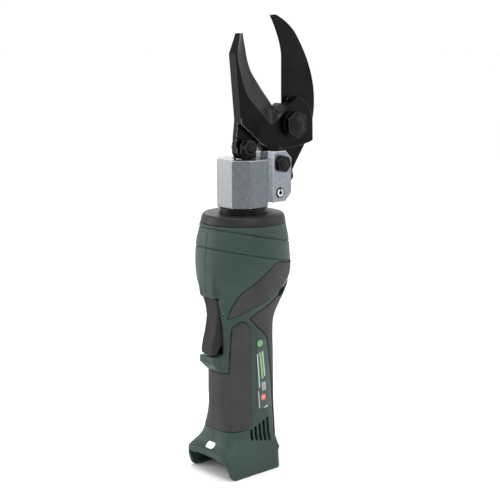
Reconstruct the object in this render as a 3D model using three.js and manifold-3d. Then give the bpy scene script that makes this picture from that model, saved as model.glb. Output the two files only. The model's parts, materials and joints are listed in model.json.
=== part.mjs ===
// Battery-hydraulic rescue cutter, in millimetres, +Z along the tool towards the jaws.
//
// -Y is the front (trigger) side and +X the right side. Heights are written above the foot's
// rim while the pieces are made; at the end everything is lowered by SEAT, so that the origin
// lies on the main axis in the face of the battery terminal block.

import * as THREE from 'three';
import { ParametricGeometry } from 'three/addons/geometries/ParametricGeometry.js';
import { mergeVertices } from 'three/addons/utils/BufferGeometryUtils.js';
import Module from 'manifold-3d';

const wasm = await Module();
wasm.setup();

// ---- driving dimensions ---------------------------------------------------------------------

const SEAT = 8;                 // terminal block face above the foot's rim
const GAP = 0.3;                // clearance between pieces that touch or run in each other
const SPLIT = GAP / 2;          // each clamshell half stops this far from the middle plane
const WALL = 2.8;               // housing wall
const FAR = 60;                 // reach of cutting tools, beyond every surface

// Housing outline: height, half width, reach to the front, reach to the rear, squareness of the
// front half and of the rear half.
const PROFILE = [
  [13.4, 36, 52, 19.0, 4, 5.5],
  [16.5, 33, 48, 20.3, 4, 4],
  [18.5, 31.2, 43.6, 21.2, 4, 3],
  [20.5, 30, 39.6, 22, 4, 2.7],
  [22.5, 28.4, 36.4, 22.6, 4.2, 2.6],
  [24.5, 26.2, 34.2, 23, 4.5, 2.6],
  [26.5, 24.6, 33.2, 23.4, 4.6, 2.6],
  [30, 23.2, 32.4, 23.8, 3.8, 2.6],
  [36, 22.3, 31.5, 24.1, 3.1, 2.6],
  [48, 21.4, 30.0, 24.0, 2.5, 2.5],
  [70, 21.2, 29.8, 23.8, 2.4, 2.4],
  [95, 21.0, 29.8, 23.4, 2.4, 2.4],
  [112, 21.0, 30.0, 23.4, 2.3, 2.3],
  [123, 21.6, 31.2, 24.4, 2.2, 2.2],
  [130, 23.2, 32.4, 27.4, 2.1, 2.1],
  [137, 26.3, 33.2, 31.2, 2, 2],
  [145, 30.4, 35.2, 34.2, 2, 2],
  [156, 35.0, 38.0, 36.6, 2, 2],
  [168, 37.4, 38.7, 37.5, 2, 2],
  [180, 37.4, 38.4, 36.8, 2, 2],
  [190, 36.4, 37.4, 35.8, 2, 2],
  [202.5, 33.9, 34.5, 33.5, 2, 2],
];
const HOUSING_TOP = 202.4;

// Foot: a flat-sided plinth whose sides lean in as they rise, up to where the grip's flare ends.
const FOOT = { half: 26.6, lean: 0.085, front: 40, rear: 18.5, radius: 5, top: 13.6, flare: 24.4 };
const FOOT_INSIDE = { half: 22.4, front: 37.2 };
// Ledge over the trigger: the flat face below it.
const LEDGE = { front: -32.5, bottom: 126, top: 146 };
const DECK = 16.5;              // inner floor of the housing, roof of the battery bay below it
const BAY = 13.5;               // roof of the battery bay

// Jaws: a scissor pair turning about one bolt, cutting planes back to back at X = 0.
const PIVOT = { y: 45, z: 277 };
const JAW_THICKNESS = 9;
const THROAT_END = { r: 22.5, z: 299.3 };   // hub radius, and height where the throat meets it
const PIVOT_BOLT = 7;           // radius
const PIVOT_HEX = 19;           // across flats
const TANG_THICKNESS = 4.8;
const DRIVE_PIN = { y: -3, z: 261, r: 3.5 };

// Head: a square cylinder block with cut corners and a clevis on its rear flat.
const BLOCK = { across: 38, flat: 18.1, bottom: 214.4, top: 252.3 };
const CLEVIS = { half: 15.5, slot: 5.3, front: 18.8, rear: 37.8, bottom: 216.8, top: 257.4 };
const CLEVIS_BOLT = { y: 27, z: 247.2, r: 4, hex: 12.4 };
const CLEVIS_PIN = { y: 25.8, z: 224.2, r: 3.2 };
const NECK = { r: 17, bottom: 178 };
const BORE = { r: 13, bottom: 184, top: 247 };
const ROD = 6.5;                // radius of the piston rod
const WIPER = { r: 8.9, bottom: 249.6 };

// Drive train on the main axis.
const MOTOR = { r: 16.5, bottom: 52, top: 98 };
const GEARS = { sun: 3, planet: 3.3, orbit: 6.6, bottom: 104, top: 110.5, count: 3 };
const CASE = { r: 13, bore: 10.9, bottom: 101, top: 128 };
const PUMP = { r: 20, wide: 27, bottom: 131.6, shoulder: 156, top: 177, cup: 197, cavity: 11 };
const CAM = { r: 5, offset: 1, bottom: 144, top: 152 };
const PLUNGER = { r: 3, z: 148 };

// Trigger: a lever hung from a pin at its top end, pressing a switch behind it.
const TRIGGER_PIN = { y: -28, z: 133, r: 1.6, reach: 10.9 };
const TRIGGER_HALF = 7.3;       // half width
const WELL = { half: 8.2, bottom: 99, top: 145.6, rear: -19 };
const SWITCH = { half: 7, front: -23, rear: -13.6, bottom: 104, top: 127 };
const BUTTON = { z: 114, half: 2.4, front: -25.7, rear: -15.5 };

const VISIBLE = 32;             // facets of a round piece that shows
const HIDDEN = 20;              // facets of a round piece inside
const AROUND = 28;              // facets of the housing

// ---- materials --------------------------------------------------------------------------------

const finish = {
  green: [0x374b46, 0.55, 0],
  charcoal: [0x2b2b2c, 0.85, 0],
  black: [0x1a1a1b, 0.6, 0],
  blackened: [0x232324, 0.45, 0.8],
  steel: [0xb8bbbd, 0.3, 0.9],
  aluminium: [0xb4b4ae, 0.4, 0.85],
  copper: [0xb87850, 0.4, 0.8],
  board: [0x1f5b3a, 0.6, 0],
  lens: [0xf2f2ee, 0.25, 0],
  label: [0x47605a, 0.5, 0],
  spring: [0x9a9c9e, 0.35, 0.9],
};

function material(name) {
  const [color, roughness, metalness] = finish[name];
  return new THREE.MeshStandardMaterial({ color, roughness, metalness });
}

// ---- solids -----------------------------------------------------------------------------------

function signedVolume(positions, triangles) {
  const a = new THREE.Vector3();
  const b = new THREE.Vector3();
  const c = new THREE.Vector3();
  let total = 0;
  for (let i = 0; i < triangles.length; i += 3) {
    a.fromArray(positions, 3 * triangles[i]);
    b.fromArray(positions, 3 * triangles[i + 1]);
    c.fromArray(positions, 3 * triangles[i + 2]);
    total += a.dot(b.cross(c));
  }
  return total;
}

// A closed geometry becomes a solid: corners merged, slivers dropped, faces turned outwards.
function solid(geometry) {
  const bare = geometry.clone();
  bare.deleteAttribute('normal');
  bare.deleteAttribute('uv');
  const merged = mergeVertices(bare, 1e-4);
  const index = merged.index.array;
  const triangles = [];
  for (let i = 0; i < index.length; i += 3) {
    const [a, b, c] = [index[i], index[i + 1], index[i + 2]];
    if (a !== b && b !== c && a !== c) triangles.push(a, b, c);
  }
  const positions = merged.attributes.position.array;
  if (signedVolume(positions, triangles) < 0) triangles.reverse();
  return new wasm.Manifold(new wasm.Mesh({
    numProp: 3,
    vertProperties: new Float32Array(positions),
    triVerts: new Uint32Array(triangles),
  }));
}

function geometryOf(shape) {
  const mesh = shape.getMesh();
  const geometry = new THREE.BufferGeometry();
  geometry.setAttribute('position', new THREE.BufferAttribute(mesh.vertProperties, 3));
  geometry.setIndex(new THREE.BufferAttribute(mesh.triVerts, 1));
  return geometry;
}

function union(...shapes) {
  return shapes.reduce((all, shape) => all.add(shape));
}

function cut(shape, ...tools) {
  return tools.reduce((left, tool) => left.subtract(tool), shape);
}

function box(x0, x1, y0, y1, z0, z1) {
  const geometry = new THREE.BoxGeometry(x1 - x0, y1 - y0, z1 - z0);
  return solid(geometry.translate((x0 + x1) / 2, (y0 + y1) / 2, (z0 + z1) / 2));
}

// A body of revolution about the main axis from a closed profile of [radius, height] points.
function turned(profile, facets = HIDDEN) {
  const points = profile.map(([r, z]) => new THREE.Vector2(r, z));
  const closed = profile[0][0] === 0 && profile.at(-1)[0] === 0;
  if (!closed) points.push(points[0].clone());
  return solid(new THREE.LatheGeometry(points, facets).rotateX(Math.PI / 2));
}

function ring(inner, outer, z0, z1, facets = HIDDEN) {
  return turned([[inner, z0], [outer, z0], [outer, z1], [inner, z1]], facets);
}

function outline(points) {
  return new THREE.Shape(points.map(([u, v]) => new THREE.Vector2(u, v)));
}

const SIDEWAYS = new THREE.Matrix4().makeBasis(
  new THREE.Vector3(0, 1, 0), new THREE.Vector3(0, 0, 1), new THREE.Vector3(1, 0, 0));

// A side view outline in (Y, Z), extruded from x0 to x1.
function slab(shape, x0, x1, curveSegments = 8) {
  const form = Array.isArray(shape) ? outline(shape) : shape;
  const options = { depth: x1 - x0, bevelEnabled: false, curveSegments };
  const geometry = new THREE.ExtrudeGeometry(form, options).translate(0, 0, x0);
  return solid(geometry.applyMatrix4(SIDEWAYS));
}

// A plan view outline in (X, Y), extruded from z0 to z1.
function plate(shape, z0, z1, curveSegments = 4) {
  const form = Array.isArray(shape) ? outline(shape) : shape;
  const options = { depth: z1 - z0, bevelEnabled: false, curveSegments };
  return solid(new THREE.ExtrudeGeometry(form, options).translate(0, 0, z0));
}

// A round or hexagonal bar along X or Y. For a hexagon, size is the corner radius.
function barX(size, x0, x1, y, z, facets = HIDDEN) {
  const geometry = new THREE.CylinderGeometry(size, size, x1 - x0, facets).rotateZ(Math.PI / 2);
  return solid(geometry.translate((x0 + x1) / 2, y, z));
}

function barY(size, y0, y1, x, z, facets = HIDDEN) {
  const geometry = new THREE.CylinderGeometry(size, size, y1 - y0, facets);
  return solid(geometry.translate(x, (y0 + y1) / 2, z));
}

function barZ(size, z0, z1, x = 0, y = 0, facets = HIDDEN) {
  const geometry = new THREE.CylinderGeometry(size, size, z1 - z0, facets).rotateX(Math.PI / 2);
  return solid(geometry.translate(x, y, (z0 + z1) / 2));
}

const HEX = 6;
const cornerRadius = (acrossFlats) => acrossFlats / Math.sqrt(3);

// A hexagon along X with two flats level.
function hexX(acrossFlats, x0, x1, y, z) {
  const r = cornerRadius(acrossFlats);
  const corners = [0, 1, 2, 3, 4, 5].map((i) => [
    y + r * Math.cos(i * Math.PI / 3),
    z + r * Math.sin(i * Math.PI / 3),
  ]);
  return slab(corners, x0, x1);
}

// A helical spring about the main axis, drawn as a round wire.
function coil(radius, wire, z0, z1, turns, sides = 6, stepsPerTurn = 9) {
  const points = [];
  const steps = turns * stepsPerTurn;
  for (let i = 0; i <= steps; i += 1) {
    const angle = 2 * Math.PI * i / stepsPerTurn;
    const z = z0 + wire + (z1 - z0 - 2 * wire) * i / steps;
    points.push(new THREE.Vector3(radius * Math.cos(angle), radius * Math.sin(angle), z));
  }
  const section = new THREE.Shape().absarc(0, 0, wire, 0, 2 * Math.PI);
  return new THREE.ExtrudeGeometry(section, {
    steps,
    curveSegments: sides,
    extrudePath: new THREE.CatmullRomCurve3(points),
    bevelEnabled: false,
  });
}

// ---- housing surface --------------------------------------------------------------------------

// Smooth values of the profile table at a height.
function profileAt(z) {
  const last = PROFILE.length - 1;
  const height = THREE.MathUtils.clamp(z, PROFILE[0][0], PROFILE[last][0]);
  let i = 0;
  while (i < last - 1 && PROFILE[i + 1][0] <= height) i += 1;
  const rows = [i - 1, i, i + 1, i + 2].map((k) => PROFILE[THREE.MathUtils.clamp(k, 0, last)]);
  const span = rows[2][0] - rows[1][0];
  const t = (height - rows[1][0]) / span;
  return [1, 2, 3, 4, 5].map((k) => {
    const enter = span * (rows[2][k] - rows[0][k]) / (rows[2][0] - rows[0][0]);
    const leave = span * (rows[3][k] - rows[1][k]) / (rows[3][0] - rows[1][0]);
    return rows[1][k] * (2 * t ** 3 - 3 * t ** 2 + 1) + enter * (t ** 3 - 2 * t ** 2 + t)
      + rows[2][k] * (3 * t ** 2 - 2 * t ** 3) + leave * (t ** 3 - t ** 2);
  });
}

// The housing's outer surface moved inwards by inset, closed between two heights.
function barrel(inset, z0, z1, around = AROUND) {
  const inner = PROFILE.map((row) => row[0]).filter((z) => z > z0 + 2 && z < z1 - 2);
  const heights = [z0, ...inner, z1];
  const rows = heights.length + 1;
  const place = (u, v, target) => {
    const row = Math.round(v * rows);
    const z = heights[THREE.MathUtils.clamp(row - 1, 0, heights.length - 1)];
    const [side, front, rear, frontPower, rearPower] = profileAt(z);
    const angle = 2 * Math.PI * (u % 1);
    const [c, s] = [Math.cos(angle), Math.sin(angle)];
    const [reach, power] = s < 0 ? [front, frontPower] : [rear, rearPower];
    const bend = (value) => Math.sign(value) * Math.abs(value) ** (2 / power);
    const open = row === 0 || row === rows ? 0 : 1;
    target.set(open * (side - inset) * bend(c), open * (reach - inset) * bend(s), z);
  };
  return solid(new ParametricGeometry(place, around, rows));
}

// ---- housing outlines in side view (Y, Z) -------------------------------------------------------

const SHOULDER = [
  [-27, 129], [-25.5, 141], [-23.5, 150.5], [-18, 156.5], [-12, 162.5], [-4.5, 169], [1.9, 173.5],
  [15.6, 171.8], [FAR, 170], [FAR, 161], [15.7, 158.2], [9, 152], [2.2, 144.6], [-5, 140.8],
  [-12.5, 137],
];
const BACKSTRAP = [
  [-11.2, 128.3], [-4.7, 133.3], [2.9, 137.6], [9.5, 144], [16, 150], [FAR, 156], [FAR, 27],
  [14.9, 27], [16.7, 38], [15.4, 55], [13.6, 72.6], [11.1, 89], [8.9, 100.6], [6.5, 111.5],
  [-3, 120.3],
];
const GRIP = [
  [-23.8, 121.5], [-18.3, 126], [-12.8, 123], [-10.8, 116.5], [-10.4, 94], [-10.2, 42],
  [-13.5, 38], [-25.7, 37], [-FAR, 38], [-FAR, 83], [-25.5, 84],
];
const LABEL = [[-4, 52], [13.4, 52], [10, 88], [7.4, 104], [5.4, 110], [-4, 110]];

// An outline moved outwards by a distance, corner by corner.
function grown(points, distance) {
  const area = points.reduce((sum, [u, v], i) => {
    const [nextU, nextV] = points[(i + 1) % points.length];
    return sum + u * nextV - nextU * v;
  }, 0);
  const turn = Math.sign(area);
  return points.map((point, i) => {
    const before = points.at(i - 1);
    const after = points[(i + 1) % points.length];
    const normal = (from, to) => {
      const direction = new THREE.Vector2(to[0] - from[0], to[1] - from[1]).normalize();
      return new THREE.Vector2(turn * direction.y, -turn * direction.x);
    };
    const n = normal(before, point).add(normal(point, after));
    const scale = 2 * distance / Math.max(n.lengthSq(), 1);
    return [point[0] + n.x * scale, point[1] + n.y * scale];
  });
}

const PANEL_PROUD = 0.45;
const PANEL_SUNK = 1.2;

// A soft panel laid into the housing on one side: side is 1 on the right and -1 on the left.
function panel(points, side) {
  const reach = side > 0 ? [SPLIT, FAR] : [-FAR, -SPLIT];
  const skin = cut(barrel(-PANEL_PROUD, 24, 182), barrel(PANEL_SUNK, 20, 190));
  return cut(skin.intersect(slab(points, ...reach)), ...Object.values(SCREWS).map(screwHole));
}

function pocket(points) {
  return cut(slab(grown(points, GAP), -FAR, FAR), barrel(PANEL_SUNK + GAP, 18, 195));
}

// ---- screws that hold the clamshell -------------------------------------------------------------

// Each one: height, place front to back, side it enters from, depth of its head, end of its shank.
const SCREWS = {
  screw_pump_right: { y: 15, z: 148, side: 1, head: 22, tip: 14 },
  screw_pump_left: { y: 15, z: 148, side: -1, head: 22, tip: 14 },
  screw_collar: { y: -28, z: 194.6, side: -1, head: 12, tip: -9 },
  screw_grip: { y: -22.4, z: 62, side: -1, head: 9.5, tip: -9 },
  screw_foot: { y: 14.2, z: 24.5, side: -1, head: 14, tip: -9 },
};
const SCREW = { head: 3.7, headHeight: 2.2, shank: 1.6, boss: 4.2 };

function between(side, from, to) {
  return side > 0 ? [from, to] : [-to, -from];
}

function screwSolid({ y, z, side, head, tip }) {
  const top = barX(SCREW.head, ...between(side, head - SCREW.headHeight, head), y, z, 12);
  const shank = barX(SCREW.shank, ...between(side, tip, head), y, z, 10);
  return union(top, shank);
}

function screwHole({ y, z, side, head, tip }) {
  const sink = barX(SCREW.head + GAP, ...between(side, head - SCREW.headHeight - GAP, FAR), y, z, 12);
  const bore = barX(SCREW.shank + GAP, ...between(side, tip - 1, head), y, z, 10);
  return union(sink, bore);
}

// A screw that crosses the middle plane runs in a boss from wall to wall; a screw into the
// pump block has a sleeve about its head only.
function screwBoss({ y, z, side, head, tip }) {
  const reach = tip > 0 ? [head - 3.4, FAR] : [-FAR, FAR];
  const wide = tip > 0 ? SCREW.boss + 1.6 : SCREW.boss;
  return barX(wide, ...between(side, ...reach), y, z, 12).intersect(barrel(1, 17, 199));
}

// ---- housing ------------------------------------------------------------------------------------

const LENS = { half: 4.4, bottom: 22, top: 26.2 };
const VENTS = { first: -10.4, pitch: 4.4, half: 1.5, bottom: 28, fall: 0.95, top: 37, rise: 1.6, count: 5 };

function roundedPlan(halfX, front, rear, radius) {
  const form = new THREE.Shape();
  form.moveTo(-halfX + radius, -front);
  form.lineTo(halfX - radius, -front);
  form.absarc(halfX - radius, -front + radius, radius, -Math.PI / 2, 0);
  form.lineTo(halfX, rear - radius);
  form.absarc(halfX - radius, rear - radius, radius, 0, Math.PI / 2);
  form.lineTo(-halfX + radius, rear);
  form.absarc(-halfX + radius, rear - radius, radius, Math.PI / 2, Math.PI);
  form.lineTo(-halfX, -front + radius);
  form.absarc(-halfX + radius, -front + radius, radius, Math.PI, 1.5 * Math.PI);
  return form;
}

// The room for the foot and the flare: leaning sides, a front edge that slants back, and a rear
// that opens gently up to the grip.
function footRoom() {
  const { half, lean, front, rear, top, flare } = FOOT;
  const narrow = half - lean * flare;
  const view = outline([
    [-half, 0], [half, 0], [narrow, flare], [FAR, flare], [FAR, 4 * FAR], [-FAR, 4 * FAR],
    [-FAR, flare], [-narrow, flare],
  ]);
  const bar = new THREE.ExtrudeGeometry(view, { depth: 2 * FAR, bevelEnabled: false });
  const sides = solid(bar.rotateX(Math.PI / 2).translate(0, FAR, 0));
  const sideView = slab([
    [-30.6, 0], [rear - 3, 0], [rear - 0.9, 0.9], [rear, 3], [rear, top],
    [rear + 5.7, 26], [FAR, 26], [FAR, 4 * FAR],
    [-FAR, 4 * FAR], [-FAR, flare], [-front, flare], [-front, 17], [-37.8, 11.3], [-34.8, 3.8],
  ], -FAR, FAR);
  return sides.intersect(sideView);
}

// The inside of the housing, which keeps a wall behind the foot's flats and the trigger's ledge.
function housingHollow() {
  const { half, front } = FOOT_INSIDE;
  const lowRoom = box(-half, half, -front, FAR, DECK - 2, FOOT.flare + 1);
  const footWall = cut(box(-FAR, FAR, -FAR, FAR, DECK - 1, FOOT.flare), lowRoom);
  const ledgeWall = box(-FAR, FAR, -FAR, LEDGE.front + WALL, LEDGE.bottom - WALL, LEDGE.top + WALL);
  return cut(barrel(WALL, DECK, HOUSING_TOP + 1, 20), footWall, ledgeWall);
}

function vent(i) {
  const { first, pitch, half, bottom, fall, top, rise } = VENTS;
  const y = first + pitch * i;
  return box(-FAR, FAR, y - half, y + half, bottom - fall * i, top + rise * i);
}

function housing() {
  const foot = plate(roundedPlan(FOOT.half, FOOT.front, FOOT.rear, FOOT.radius), 0, FOOT.top);
  const body = barrel(0, PROFILE[0][0], HOUSING_TOP).add(foot).intersect(footRoom());
  const guard = slab([
    [-38.5, 98.3], [-27, 98.3], [-27, 82], [-30, 84], [-35.5, 89.5], [-38.5, 92.5],
  ], -9, 9);
  const nose = slab([
    [-30, LEDGE.top], [-37.4, LEDGE.top], [-38.4, 149], [-38.8, 154], [-38.4, 161], [-30, 165],
  ], -9, 9);
  const ledge = box(-FAR, FAR, -FAR, LEDGE.front, LEDGE.bottom, LEDGE.top);
  const outside = cut(body.add(guard), ledge).add(nose);
  const bosses = union(...Object.values(SCREWS).map(screwBoss));
  const shell = union(cut(outside, housingHollow()), bosses);

  const bay = box(-23.4, 23.4, -FAR, FOOT.rear - WALL, -1, BAY);
  const mouthRoof = (slope, reach) =>
    slab([[-FAR, 0], [-31, 0], [-31, BAY], [-FAR, BAY + slope * (FAR - 31)]], -reach, reach);
  const lip = mouthRoof(0.17, 22.4).add(mouthRoof(0.33, 13));
  const mouth = box(-13.2, 13.2, -20.6, 8.6, 0, DECK + 6);
  const well = box(-WELL.half, WELL.half, -FAR, WELL.rear, WELL.bottom, WELL.top);
  const pinRoom = TRIGGER_PIN.reach + GAP;
  const pinHole = barX(TRIGGER_PIN.r + GAP, -pinRoom, pinRoom, TRIGGER_PIN.y, TRIGGER_PIN.z, 12);
  const vents = union(...Array.from({ length: VENTS.count }, (_, i) => vent(i)));
  const lensPocket = cut(
    box(-LENS.half - GAP, LENS.half + GAP, -FAR, -20, LENS.bottom - GAP, LENS.top + GAP),
    barrel(1.8, 15, 40));
  const neckHole = barZ(23.4, 190, HOUSING_TOP + 2, 0, 0, VISIBLE);
  const cuts = [bay, lip, mouth, well, pinHole, vents, lensPocket, neckHole];
  const pockets = [SHOULDER, BACKSTRAP, GRIP].map(pocket);
  const holes = Object.values(SCREWS).map(screwHole);
  const railEnd = FOOT.rear - WALL + 0.4;
  const rails = union(
    box(20.6, 24, -30, railEnd, 1.2, 3.4),
    box(-24, -20.6, -30, railEnd, 1.2, 3.4));
  return union(cut(shell, ...cuts, ...pockets, ...holes), rails);
}

const whole = housing();
const right = whole.intersect(box(SPLIT, FAR, -FAR, FAR, -5, 230));
const left = whole.intersect(box(-FAR, -SPLIT, -FAR, FAR, -5, 230));

function collarRing() {
  const bottom = HOUSING_TOP + GAP;
  return turned([
    [23.6, bottom], [33.8, bottom], [33.4, 205.6], [32.4, 208.4], [31.2, 209.5], [19.2, 209.5],
    [19.2, 207.2], [23.6, 207.2],
  ], VISIBLE);
}

function labelPlate() {
  const skin = cut(barrel(-0.8, 40, 120), barrel(-0.1, 30, 130));
  return skin.intersect(slab(LABEL, SPLIT, FAR));
}

function indicatorLens() {
  const skin = cut(barrel(-0.3, 15.7, 40), barrel(1.4, 15, 45));
  return skin.intersect(box(-LENS.half, LENS.half, -FAR, -22, LENS.bottom, LENS.top));
}

// ---- battery interface and electronics ------------------------------------------------------------

function terminalBlock() {
  const base = box(-12.6, 12.6, -20, 8, SEAT, 22);
  const slots = [-9, 9].map((x) => box(x - 1.1, x + 1.1, -18, 2, SEAT - 1, 18));
  return cut(base, ...slots);
}

function contactBlade(x) {
  return box(x - 0.5, x + 0.5, -16, 0, 3.5, 17.5);
}

function controlBoard() {
  const card = box(-15, 15, -17, 15, 30, 31.6);
  const parts = [
    box(-12, -3, -12, -4, 31.4, 35),
    box(2, 12, -14, -7, 31.4, 34),
    box(-4, 6, 4, 12, 31.4, 36),
    barZ(3.6, 31.4, 40, -9, 7, 14),
  ];
  return union(card, ...parts);
}

function switchBody() {
  const { half, front, rear, bottom, top } = SWITCH;
  const side = BUTTON.half + GAP;
  const hole = box(-side, side, front - 1, BUTTON.rear + 1.2, BUTTON.z - side, BUTTON.z + side);
  return cut(box(-half, half, front, rear, bottom, top), hole);
}

function switchButton() {
  const { half, front, rear, z } = BUTTON;
  return box(-half, half, front, rear - 3.2, z - half, z + half);
}

// ---- trigger ----------------------------------------------------------------------------------------

function trigger() {
  const face = new THREE.SplineCurve([
    [-33.4, 144.4], [-32.7, 138], [-32.6, 132], [-33.2, 126], [-34.8, 118], [-37, 110],
    [-38.2, 103], [-37.6, 100.6],
  ].map(([y, z]) => new THREE.Vector2(y, z)));
  const points = face.getPoints(12);
  const back = [
    [-34, 99.6], [-31, 103], [-26.2, 110], [-26.1, 118], [-24.6, 126], [-23.6, 138],
    [-24.6, 144.4],
  ];
  const form = new THREE.Shape([...points, ...back.map(([y, z]) => new THREE.Vector2(y, z))]);
  const lever = slab(form, -TRIGGER_HALF, TRIGGER_HALF);
  const springSpace = box(-4.6, 4.6, -31.3, -20, 128.5, 140);
  const eye = barX(TRIGGER_PIN.r + GAP, -FAR, FAR, TRIGGER_PIN.y, TRIGGER_PIN.z, 12);
  return cut(lever, springSpace, eye);
}

function triggerPin() {
  const { y, z, r, reach } = TRIGGER_PIN;
  return barX(r, -reach, reach, y, z, 12);
}

// The spring is wound about the trigger's pin.
function triggerSpring() {
  const wire = coil(2.45, 0.5, -3.9, 3.9, 5, 3, 8);
  return solid(wire.rotateY(Math.PI / 2).translate(0, TRIGGER_PIN.y, TRIGGER_PIN.z));
}

// ---- drive train ------------------------------------------------------------------------------------

function motorCan() {
  const { r, bottom, top } = MOTOR;
  return turned([
    [r - 1.5, bottom], [r, bottom], [r, top], [3, top], [3, top - 2], [r - 1.5, top - 2],
  ], 28);
}

function motorStator() {
  return ring(9.2, MOTOR.r - 1.5 - GAP, MOTOR.bottom + 4, MOTOR.top - 6, 24);
}

function motorRotor() {
  const { bottom, top } = MOTOR;
  return turned([
    [0, 43], [2.2, 43], [2.2, bottom + 2], [8.8, bottom + 2], [8.8, top - 4], [2.4, top - 4],
    [2.4, GEARS.bottom - 0.5], [GEARS.sun, GEARS.bottom - 0.5], [GEARS.sun, GEARS.top],
    [0, GEARS.top],
  ], 16);
}

function coolingFan() {
  const hub = ring(2.5, 5, 44, 49, 16);
  const blades = [0, 1, 2, 3, 4, 5, 6].map((i) => {
    const blade = new THREE.BoxGeometry(9.4, 1, 5).translate(9.2, 0, 46.5);
    return solid(blade.rotateZ(2 * Math.PI * i / 7));
  });
  return union(hub, ...blades);
}

function gearboxCase() {
  const { r, bore, bottom, top } = CASE;
  return turned([
    [3.4, bottom], [r, bottom], [r, top], [16, top], [16, top + 3.2], [bore, top + 3.2],
    [bore, bottom + 1.5], [3.4, bottom + 1.5],
  ], 24);
}

function planetCarrier() {
  const shaft = turned([
    [0, 112], [10.3, 112], [10.3, 115.5], [4, 115.5], [4, CAM.bottom], [3.4, CAM.bottom],
    [3.4, CAM.top], [0, CAM.top],
  ]);
  const cam = barZ(CAM.r, CAM.bottom, CAM.top, 0, CAM.offset, 18);
  const pins = planetAngles().map((angle) => barZ(1.2, GEARS.bottom - 0.6, 112.2,
    GEARS.orbit * Math.cos(angle), GEARS.orbit * Math.sin(angle), 8));
  return union(shaft, cam, ...pins);
}

function planetAngles() {
  return Array.from({ length: GEARS.count }, (_, i) => Math.PI / 2 + 2 * Math.PI * i / GEARS.count);
}

function planetGear() {
  return ring(1.2 + GAP, GEARS.planet, GEARS.bottom, GEARS.top, 14);
}

// The pump block: a cam chamber below, a thick valve deck, and a cup in which the neck turns.
function pumpBlock() {
  const { r, wide, bottom, shoulder, top, cup, cavity } = PUMP;
  const block = turned([
    [cavity, bottom], [r, bottom], [r, shoulder], [wide, shoulder], [wide, top], [21.2, top],
    [21.2, cup], [NECK.r + 0.4, cup], [NECK.r + 0.4, top], [2, top], [2, 153], [cavity, 153],
  ]);
  const plungerBore = barY(PLUNGER.r + GAP, 0, r + 5, 0, PLUNGER.z, 14);
  const valveBore = barY(3.8, -r - 5, 0, 0, PLUNGER.z, 14);
  const threads = [1, -1].map((side) => barX(SCREW.shank + GAP, ...between(side, 8, 30),
    SCREWS.screw_pump_right.y, SCREWS.screw_pump_right.z, 10));
  return cut(block, plungerBore, valveBore, ...threads);
}

function pumpPlunger() {
  return barY(PLUNGER.r, CAM.r + CAM.offset + GAP, 12.5, 0, PLUNGER.z, 14);
}

function plungerSpring() {
  const wire = coil(2.1, 0.35, 12.7, 17, 3, 3, 7);
  return solid(wire.rotateX(-Math.PI / 2).translate(0, 0, PLUNGER.z));
}

function plungerPlug() {
  return barY(PLUNGER.r, 17.3, PUMP.r - 0.2, 0, PLUNGER.z, 14);
}

function reliefValve() {
  const cartridge = barY(3.4, -PUMP.r + 0.5, -12, 0, PLUNGER.z, 14);
  const nut = barY(3.5, -PUMP.r - 2, -PUMP.r + 0.6, 0, PLUNGER.z, HEX);
  return union(cartridge, nut);
}

// ---- head ---------------------------------------------------------------------------------------------

// A square with its four corners cut off, across is its width and side the width of its flats.
function cutSquare(across, side) {
  const half = across / 2;
  const flat = side / 2;
  return [
    [half, flat], [flat, half], [-flat, half], [-half, flat],
    [-half, -flat], [-flat, -half], [flat, -half], [half, -flat],
  ];
}

function headBlock() {
  const body = plate(cutSquare(BLOCK.across, BLOCK.flat), BLOCK.bottom, BLOCK.top);
  const neck = barZ(NECK.r, NECK.bottom, BLOCK.bottom + 1, 0, 0, 24);
  const { half, slot, front, rear, bottom, top } = CLEVIS;
  const corner = 6.3;
  const ears = slab([
    [front, bottom], [rear - corner, bottom], [rear, bottom + corner], [rear, top - corner],
    [rear - corner, top], [front, top],
  ], -half, half);
  const boss = plate([
    [-slot - 1.5, front + 3], [-slot - 1.5, 17.5], [-4.2, 15], [4.2, 15], [slot + 1.5, 17.5],
    [slot + 1.5, front + 3],
  ], BLOCK.top - 1, top);
  const solidHead = union(body, neck, ears, boss);

  const gapBetweenEars = box(-slot, slot, 19.5, FAR, bottom - 1, top + 1);
  const bore = barZ(BORE.r, BORE.bottom, BORE.top, 0, 0, 24);
  const rodHole = barZ(ROD + GAP, BORE.top - 1, BLOCK.top + 1);
  const wiperSeat = barZ(WIPER.r + GAP, WIPER.bottom - GAP, BLOCK.top + 1);
  const port = barZ(2.5, NECK.bottom - 1, BORE.bottom + 1, 0, 0, 12);
  const boltHole = barX(CLEVIS_BOLT.r + GAP, -FAR, FAR, CLEVIS_BOLT.y, CLEVIS_BOLT.z, 18);
  const pinHole = barX(CLEVIS_PIN.r + GAP, -FAR, FAR, CLEVIS_PIN.y, CLEVIS_PIN.z, 16);
  return cut(solidHead, gapBetweenEars, bore, rodHole, wiperSeat, port, boltHole, pinHole);
}

function clevisBolt() {
  const { y, z, r, hex } = CLEVIS_BOLT;
  const shank = barX(r, -CLEVIS.half - 1, CLEVIS.half + 4.6, y, z, 16);
  const head = hexX(hex, -CLEVIS.half - 4.4, -CLEVIS.half - GAP, y, z);
  return union(shank, head);
}

function clevisNut() {
  const { y, z, r, hex } = CLEVIS_BOLT;
  const nut = hexX(hex, CLEVIS.half + GAP, CLEVIS.half + 3.8, y, z);
  return cut(nut, barX(r + GAP, 10, 30, y, z, 16));
}

function clevisPin() {
  const { y, z, r } = CLEVIS_PIN;
  const tube = cut(barX(r, -CLEVIS.half, CLEVIS.half + 0.4, y, z, 16), barX(1.6, -FAR, FAR, y, z, 12));
  return cut(tube, box(-FAR, FAR, y - 0.5, y + 0.5, z, z + 6));
}

// ---- jaws -----------------------------------------------------------------------------------------------

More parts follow.
